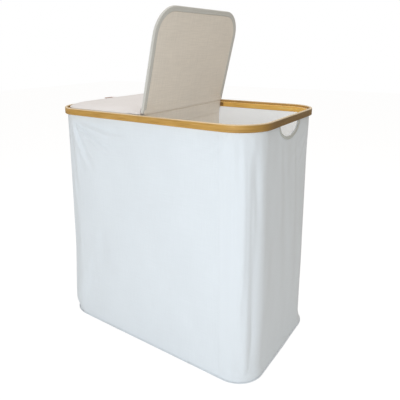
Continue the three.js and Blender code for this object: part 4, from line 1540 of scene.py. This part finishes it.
def lid_stitches(side):
    """Topstitching round the band on the underside."""
    loop = np.array(lid_outline(side, sizes().lid_margin - STITCH_FROM_EDGE))
    loop = np.vstack([loop, loop[:1]])
    line, under = [
        lid_to_hamper(np.column_stack([loop, np.full(len(loop), lid_underside() - depth)]), side)
        for depth in (0, 1)]
    stitch_row(f"{side}_lid_stitches", line, under - line, f"{side}_lid", "lid_cloth")


class HAMPER_OT_lids(Operator):
    """Covers each lid, with its beige underside, its stitching and its pull tab"""

    bl_idname = "hamper.lids"
    bl_label = "Lids"

    def execute(self, context):
        for side in ("right", "left"):
            lid_cover(side)
            lid_lining_panel(side)
            lid_stitches(side)
            pull_tab(side)
        return {"FINISHED"}


# The beige cloth's fold under each hinge and its way down the divider, in mm outwards and up from the top
# edge of the bar's sleeve
HINGE_FOLDS = {
    "right": ((3.0, 6.0), (0.9, 4.7), (0.7, 4.0), (2.4, 2.4), (2.1, 0.0)),
    "left": ((17.1, 2.8), (14.5, 4.2), (8.5, 4.5), (3.5, 4.3), (2.1, 2.5)),
}
DOWN_THE_DIVIDER = ((1.5, -4), (0.85, -9), (0.7, -14.5), (-0.3, -19), (-1.2, -25), (-1.55, -31))

# Radius of the hinge strip's turn at its top, and its sag on the level part
STRIP_ROLL = 1.2 * MM
STRIP_SAG = 0.7 * MM


class HAMPER_OT_hinges(Operator):
    """Sews the cloth hinge strip from the middle on to each lid"""

    bl_idname = "hamper.hinges"
    bl_label = "Cloth hinges"

    def execute(self, context):
        for side, sign in HALVES:
            self.strip(side, sign)
            self.inner(side, sign)
        return {"FINISHED"}

    def strip(self, side, sign):
        s = sizes()
        angle = open_angle(side)
        cloth = s.strip_cloth
        hinge = abs(hinge_place(side).x), hinge_place(side).z
        half = HINGE_HIGH.y + 1.5 * MM
        # Up the middle of the hamper, level out to the hinge line, and up the lid's top
        middle = HINGE_LOW.x + 0.1 * MM
        roll = min(STRIP_ROLL, hinge[0] / 2)
        top = hinge[1] - 0.05 * MM
        path = [(middle, z) for z in np.linspace(HINGE_LOW.z + 0.2 * MM, top - roll, 4)]
        if hinge[0] > 4 * MM:
            path += bend(middle + roll, top - roll, roll, 165, 90, 5)
            level = np.linspace(middle + 2 * roll, hinge[0] - 1.6 * MM, 9)
            sag = STRIP_SAG * np.sin(math.pi * (level - level[0]) / (level[-1] - level[0]))
            path += list(zip(level, top - sag))
        over = cloth + 0.3 * MM
        on_lid = [u * MM for u in (0.5, 1.2, 2.2, 3.6, 5.4, 7.5, 10.0, s.hinge_strip / MM)]
        first = len(path)
        for u in on_lid:
            path.append((hinge[0] + u * math.cos(angle) - over * math.sin(angle),
                         hinge[1] + u * math.sin(angle) + over * math.cos(angle)))

        def rise(number, y):
            """The strip follows the swell of the lid's top, which falls off towards the lid's ends."""
            u = np.interp(number, np.arange(first, first + len(on_lid)), on_lid, left=0)
            inset = np.clip(np.minimum(u, LEFT_LID_HIGH.y - np.abs(y)), 0, None)
            swell = lid_swell(inset) * np.clip(u / (3 * MM), 0, 1)
            return -math.sin(angle) * swell, math.cos(angle) * swell

        strip = strip_along_y(f"{side}_hinge_strip", path, half, 5 * MM, cloth, rise=rise)
        if sign < 0:
            half_turn(strip)
        smooth(strip, 60)
        dress(strip, material_of(lid_canvas))
        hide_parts(f"{side}_lid_hinge_cloth")
        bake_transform(strip)

    def inner(self, side, sign):
        """Beige cloth from the lid's underside over a fold under the hinge and down the divider."""
        level = lid_underside() + sizes().lid_recess
        on_lid = [(u * MM, 0, level - drop * MM) for u, drop in (
            (16, 0.15), (12, 0.3), (9, 0.65), (6, 1.1), (3.5, 1.4), (1.5, 1.6))]
        path = [(sign * x, z) for x, _, z in lid_to_hamper(on_lid, side)]
        fold = HINGE_FOLDS[side]
        path += [(SLEEVE_HIGH.x + x * MM, SLEEVE_HIGH.z + z * MM) for x, z in (*fold, *DOWN_THE_DIVIDER)]
        half = DIVIDER_HIGH.y - 2 * MM
        cloth = strip_along_y(f"{side}_hinge_lining_cloth", path, half, 7 * MM, 0.5 * MM, 0.0)
        if sign < 0:
            half_turn(cloth)
        smooth(cloth, 60)
        dress(cloth, material_of(beige_linen))
        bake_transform(cloth)


# Poles and fittings

class HAMPER_OT_pole_sleeves(Operator):
    """Sews a cloth sleeve round each corner pole"""

    bl_idname = "hamper.pole_sleeves"
    bl_label = "Pole sleeves"

    def execute(self, context):
        s = sizes()
        around = np.linspace(0, 2 * math.pi, 25)
        for corner, place in zip(("front_right", "back_right", "back_left", "front_left"), pole_places()):
            low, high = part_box(f"{corner}_pole_sleeve")

            def tube(u, v):
                axis = wall_point(np.full_like(v, place), v, -s.pole_inset)
                out = wall_point(np.full_like(v, place), v, 1 - s.pole_inset) - axis
                side = np.cross(out, (0, 0, 1))
                # The sleeve is a little flat, and ruffled where it is sewn
                ruffle = 0.2 * MM * np.sin(v / (11 * MM) + 2 * u) * np.sin(u / 2) ** 2
                radius = (s.pole_sleeve - ruffle)[:, None]
                return axis + radius * (np.cos(u)[:, None] * out + np.sin(u)[:, None] * side)

            name = f"{corner}_sleeve_cloth"
            sleeve = cloth_grid(name, around, np.linspace(low.z, high.z, 60), tube)
            face_outwards(sleeve, merge=0.01 * MM)
            thicken(sleeve, 0.8 * MM)
            dress_and_place(sleeve, body_canvas, BODY, "body_cloth", f"{corner}_pole_sleeve")
        return {"FINISHED"}


class HAMPER_OT_fittings(Operator):
    """Finishes the boards, poles, sockets, brackets, screws and centre bar"""

    bl_idname = "hamper.fittings"
    bl_label = "Boards, poles and fittings"

    def execute(self, context):
        finishes = (
            ("_board", hardboard), ("_pole", glass_fibre), ("_socket", moulded_plastic),
            ("_bracket", lacquered_steel), (("_screw_1", "_screw_2"), lacquered_steel),
            ("centre_bar", bamboo_bar))
        for name, node in frame["nodes"].items():
            for ending, maker in finishes:
                if name.endswith(ending):
                    dress(node, material_of(maker))
        return {"FINISHED"}


# Stage

FRONT_LAMP_TINT = (0.79, 0.865, 0.94)
TOP_LAMP_TINT = (0.96, 0.98, 1.0)
TOP_LAMP_PLACE = (0.1, 0.1)
ROOM_TINT = (1.0, 0.945, 0.865, 1.0)
WHITE = (1.0, 1.0, 1.0, 1.0)
FLOOR_GLOW_STRENGTH = 1.13
FLOOR_SIDE = 14
FLOOR_DROP = 0.2 * MM


class HAMPER_OT_stage(Operator):
    """Sets up the camera, the two soft lamps, the even room light and the pale floor"""

    bl_idname = "hamper.stage"
    bl_label = "Studio"

    def execute(self, context):
        stage = context.scene.hamper_stage
        context.scene.view_settings.view_transform = "Standard"
        self.camera(context, stage)
        self.lamps(stage)
        self.room(context, stage)
        self.floor(stage)
        return {"FINISHED"}

    def camera(self, context, stage):
        turn, tilt, roll = stage.camera_turn, stage.camera_tilt, stage.camera_roll
        ahead = Vector((-math.sin(turn) * math.cos(tilt), math.cos(turn) * math.cos(tilt), -math.sin(tilt)))
        right = Vector((math.cos(turn), math.sin(turn), 0))
        down = ahead.cross(right)
        level = math.cos(roll) * right + math.sin(roll) * down
        below = math.cos(roll) * down - math.sin(roll) * right
        deselect_all()
        bpy.ops.object.camera_add()
        camera = context.object
        camera.name = "camera"
        axes = Matrix((level, -below, -ahead)).transposed().to_4x4()
        place = Vector((stage.camera_x, stage.camera_y, stage.camera_z))
        camera.matrix_world = Matrix.Translation(place) @ axes
        camera.data.sensor_width = 36
        camera.data.lens = stage.camera_lens
        camera.data.shift_x = stage.shift_x
        camera.data.shift_y = stage.shift_y
        context.scene.camera = camera

    def lamps(self, stage):
        """A cool lamp in front, level with the rim, and a warmer one overhead."""
        front = Vector((stage.lamp_x, stage.lamp_y, stage.lamp_z))
        above = Vector((*TOP_LAMP_PLACE, stage.top_height))
        for name, place, size, power, tint in (
                ("front_lamp", front, stage.lamp_size, stage.lamp_power, FRONT_LAMP_TINT),
                ("top_lamp", above, stage.top_size, stage.top_power, TOP_LAMP_TINT)):
            way = place - Vector((0, 0, RIM_HIGH.z / 2))
            deselect_all()
            bpy.ops.object.light_add(type="AREA", location=place)
            lamp = bpy.context.object
            lamp.name = name
            lamp.rotation_euler = way.to_track_quat("Z", "Y").to_euler()
            lamp.data.shape = "SQUARE"
            lamp.data.size = size
            lamp.data.energy = power
            lamp.data.color = tint

    def room(self, context, stage):
        world = bpy.data.worlds.new("room")
        world.use_nodes = True
        tree = world.node_tree
        tree.nodes.clear()
        even = add_node(tree, "ShaderNodeBackground", {}, {
            "Color": ROOM_TINT, "Strength": stage.room_light})
        white = add_node(tree, "ShaderNodeBackground", {}, {"Color": WHITE, "Strength": 1.0})
        rays = add_node(tree, "ShaderNodeLightPath")
        seen = 0.0
        for kind in ("Is Camera Ray", "Is Glossy Ray", "Is Transmission Ray"):
            seen = add_node(tree, "ShaderNodeMath", {"operation": "MAXIMUM"}, {
                0: seen, 1: rays.outputs[kind]}).outputs[0]
        mixed = add_node(tree, "ShaderNodeMixShader", {}, {
            0: seen, 1: even.outputs[0], 2: white.outputs[0]})
        add_node(tree, "ShaderNodeOutputWorld", {}, {"Surface": mixed.outputs[0]})
        context.scene.world = world

    def floor(self, stage):
        deselect_all()
        bpy.ops.mesh.primitive_plane_add(size=FLOOR_SIDE, location=(0, 0, -FLOOR_DROP))
        floor = settle(bpy.context.object, "studio_floor")
        # Vinyl sheet with a matt calendered face: even, without gloss
        material, tree = new_material("matt_white_vinyl")
        matt = add_node(tree, "ShaderNodeBsdfDiffuse", {}, {"Color": colours().floor})
        glow = add_node(tree, "ShaderNodeEmission", {}, {"Color": WHITE, "Strength": FLOOR_GLOW_STRENGTH})
        rays = add_node(tree, "ShaderNodeLightPath")
        share = add_node(tree, "ShaderNodeMath", {"operation": "MULTIPLY"}, {
            0: rays.outputs["Is Camera Ray"], 1: stage.floor_glow}).outputs[0]
        mixed = add_node(tree, "ShaderNodeMixShader", {}, {
            0: share, 1: matt.outputs[0], 2: glow.outputs[0]})
        add_node(tree, "ShaderNodeOutputMaterial", {}, {"Surface": mixed.outputs[0]})
        dress(floor, material)


class HAMPER_PT_panel(Panel):
    bl_label = "Laundry hamper"
    bl_idname = "HAMPER_PT_panel"
    bl_space_type = "VIEW_3D"
    bl_region_type = "UI"
    bl_category = "Hamper"

    def draw(self, context):
        for operator in OPERATORS:
            self.layout.operator(operator.bl_idname)
        for group in GROUPS:
            owner = getattr(context.scene, group)
            box = self.layout.box()
            for name in owner.bl_rna.properties.keys():
                if name not in ("rna_type", "name"):
                    box.prop(owner, name)


OPERATORS = (
    HAMPER_OT_stage, HAMPER_OT_rim, HAMPER_OT_body, HAMPER_OT_hems, HAMPER_OT_base, HAMPER_OT_linings,
    HAMPER_OT_divider, HAMPER_OT_lids, HAMPER_OT_hinges, HAMPER_OT_pole_sleeves, HAMPER_OT_fittings,
)
GROUPS = {
    "hamper_sizes": HamperSizes, "hamper_folds": HamperFolds,
    "hamper_colours": HamperColours, "hamper_stage": HamperStage,
}


def register():
    for group in GROUPS.values():
        bpy.utils.register_class(group)
    for operator in OPERATORS:
        bpy.utils.register_class(operator)
    bpy.utils.register_class(HAMPER_PT_panel)
    for name, group in GROUPS.items():
        setattr(bpy.types.Scene, name, PointerProperty(type=group))


def unregister():
    for name in GROUPS:
        delattr(bpy.types.Scene, name)
    bpy.utils.unregister_class(HAMPER_PT_panel)
    for operator in reversed(OPERATORS):
        bpy.utils.unregister_class(operator)
    for group in reversed(list(GROUPS.values())):
        bpy.utils.unregister_class(group)


def main():
    register()
    for operator in OPERATORS:
        group, name = operator.bl_idname.split(".")
        getattr(getattr(bpy.ops, group), name)()


if __name__ == "__main__":
    main()
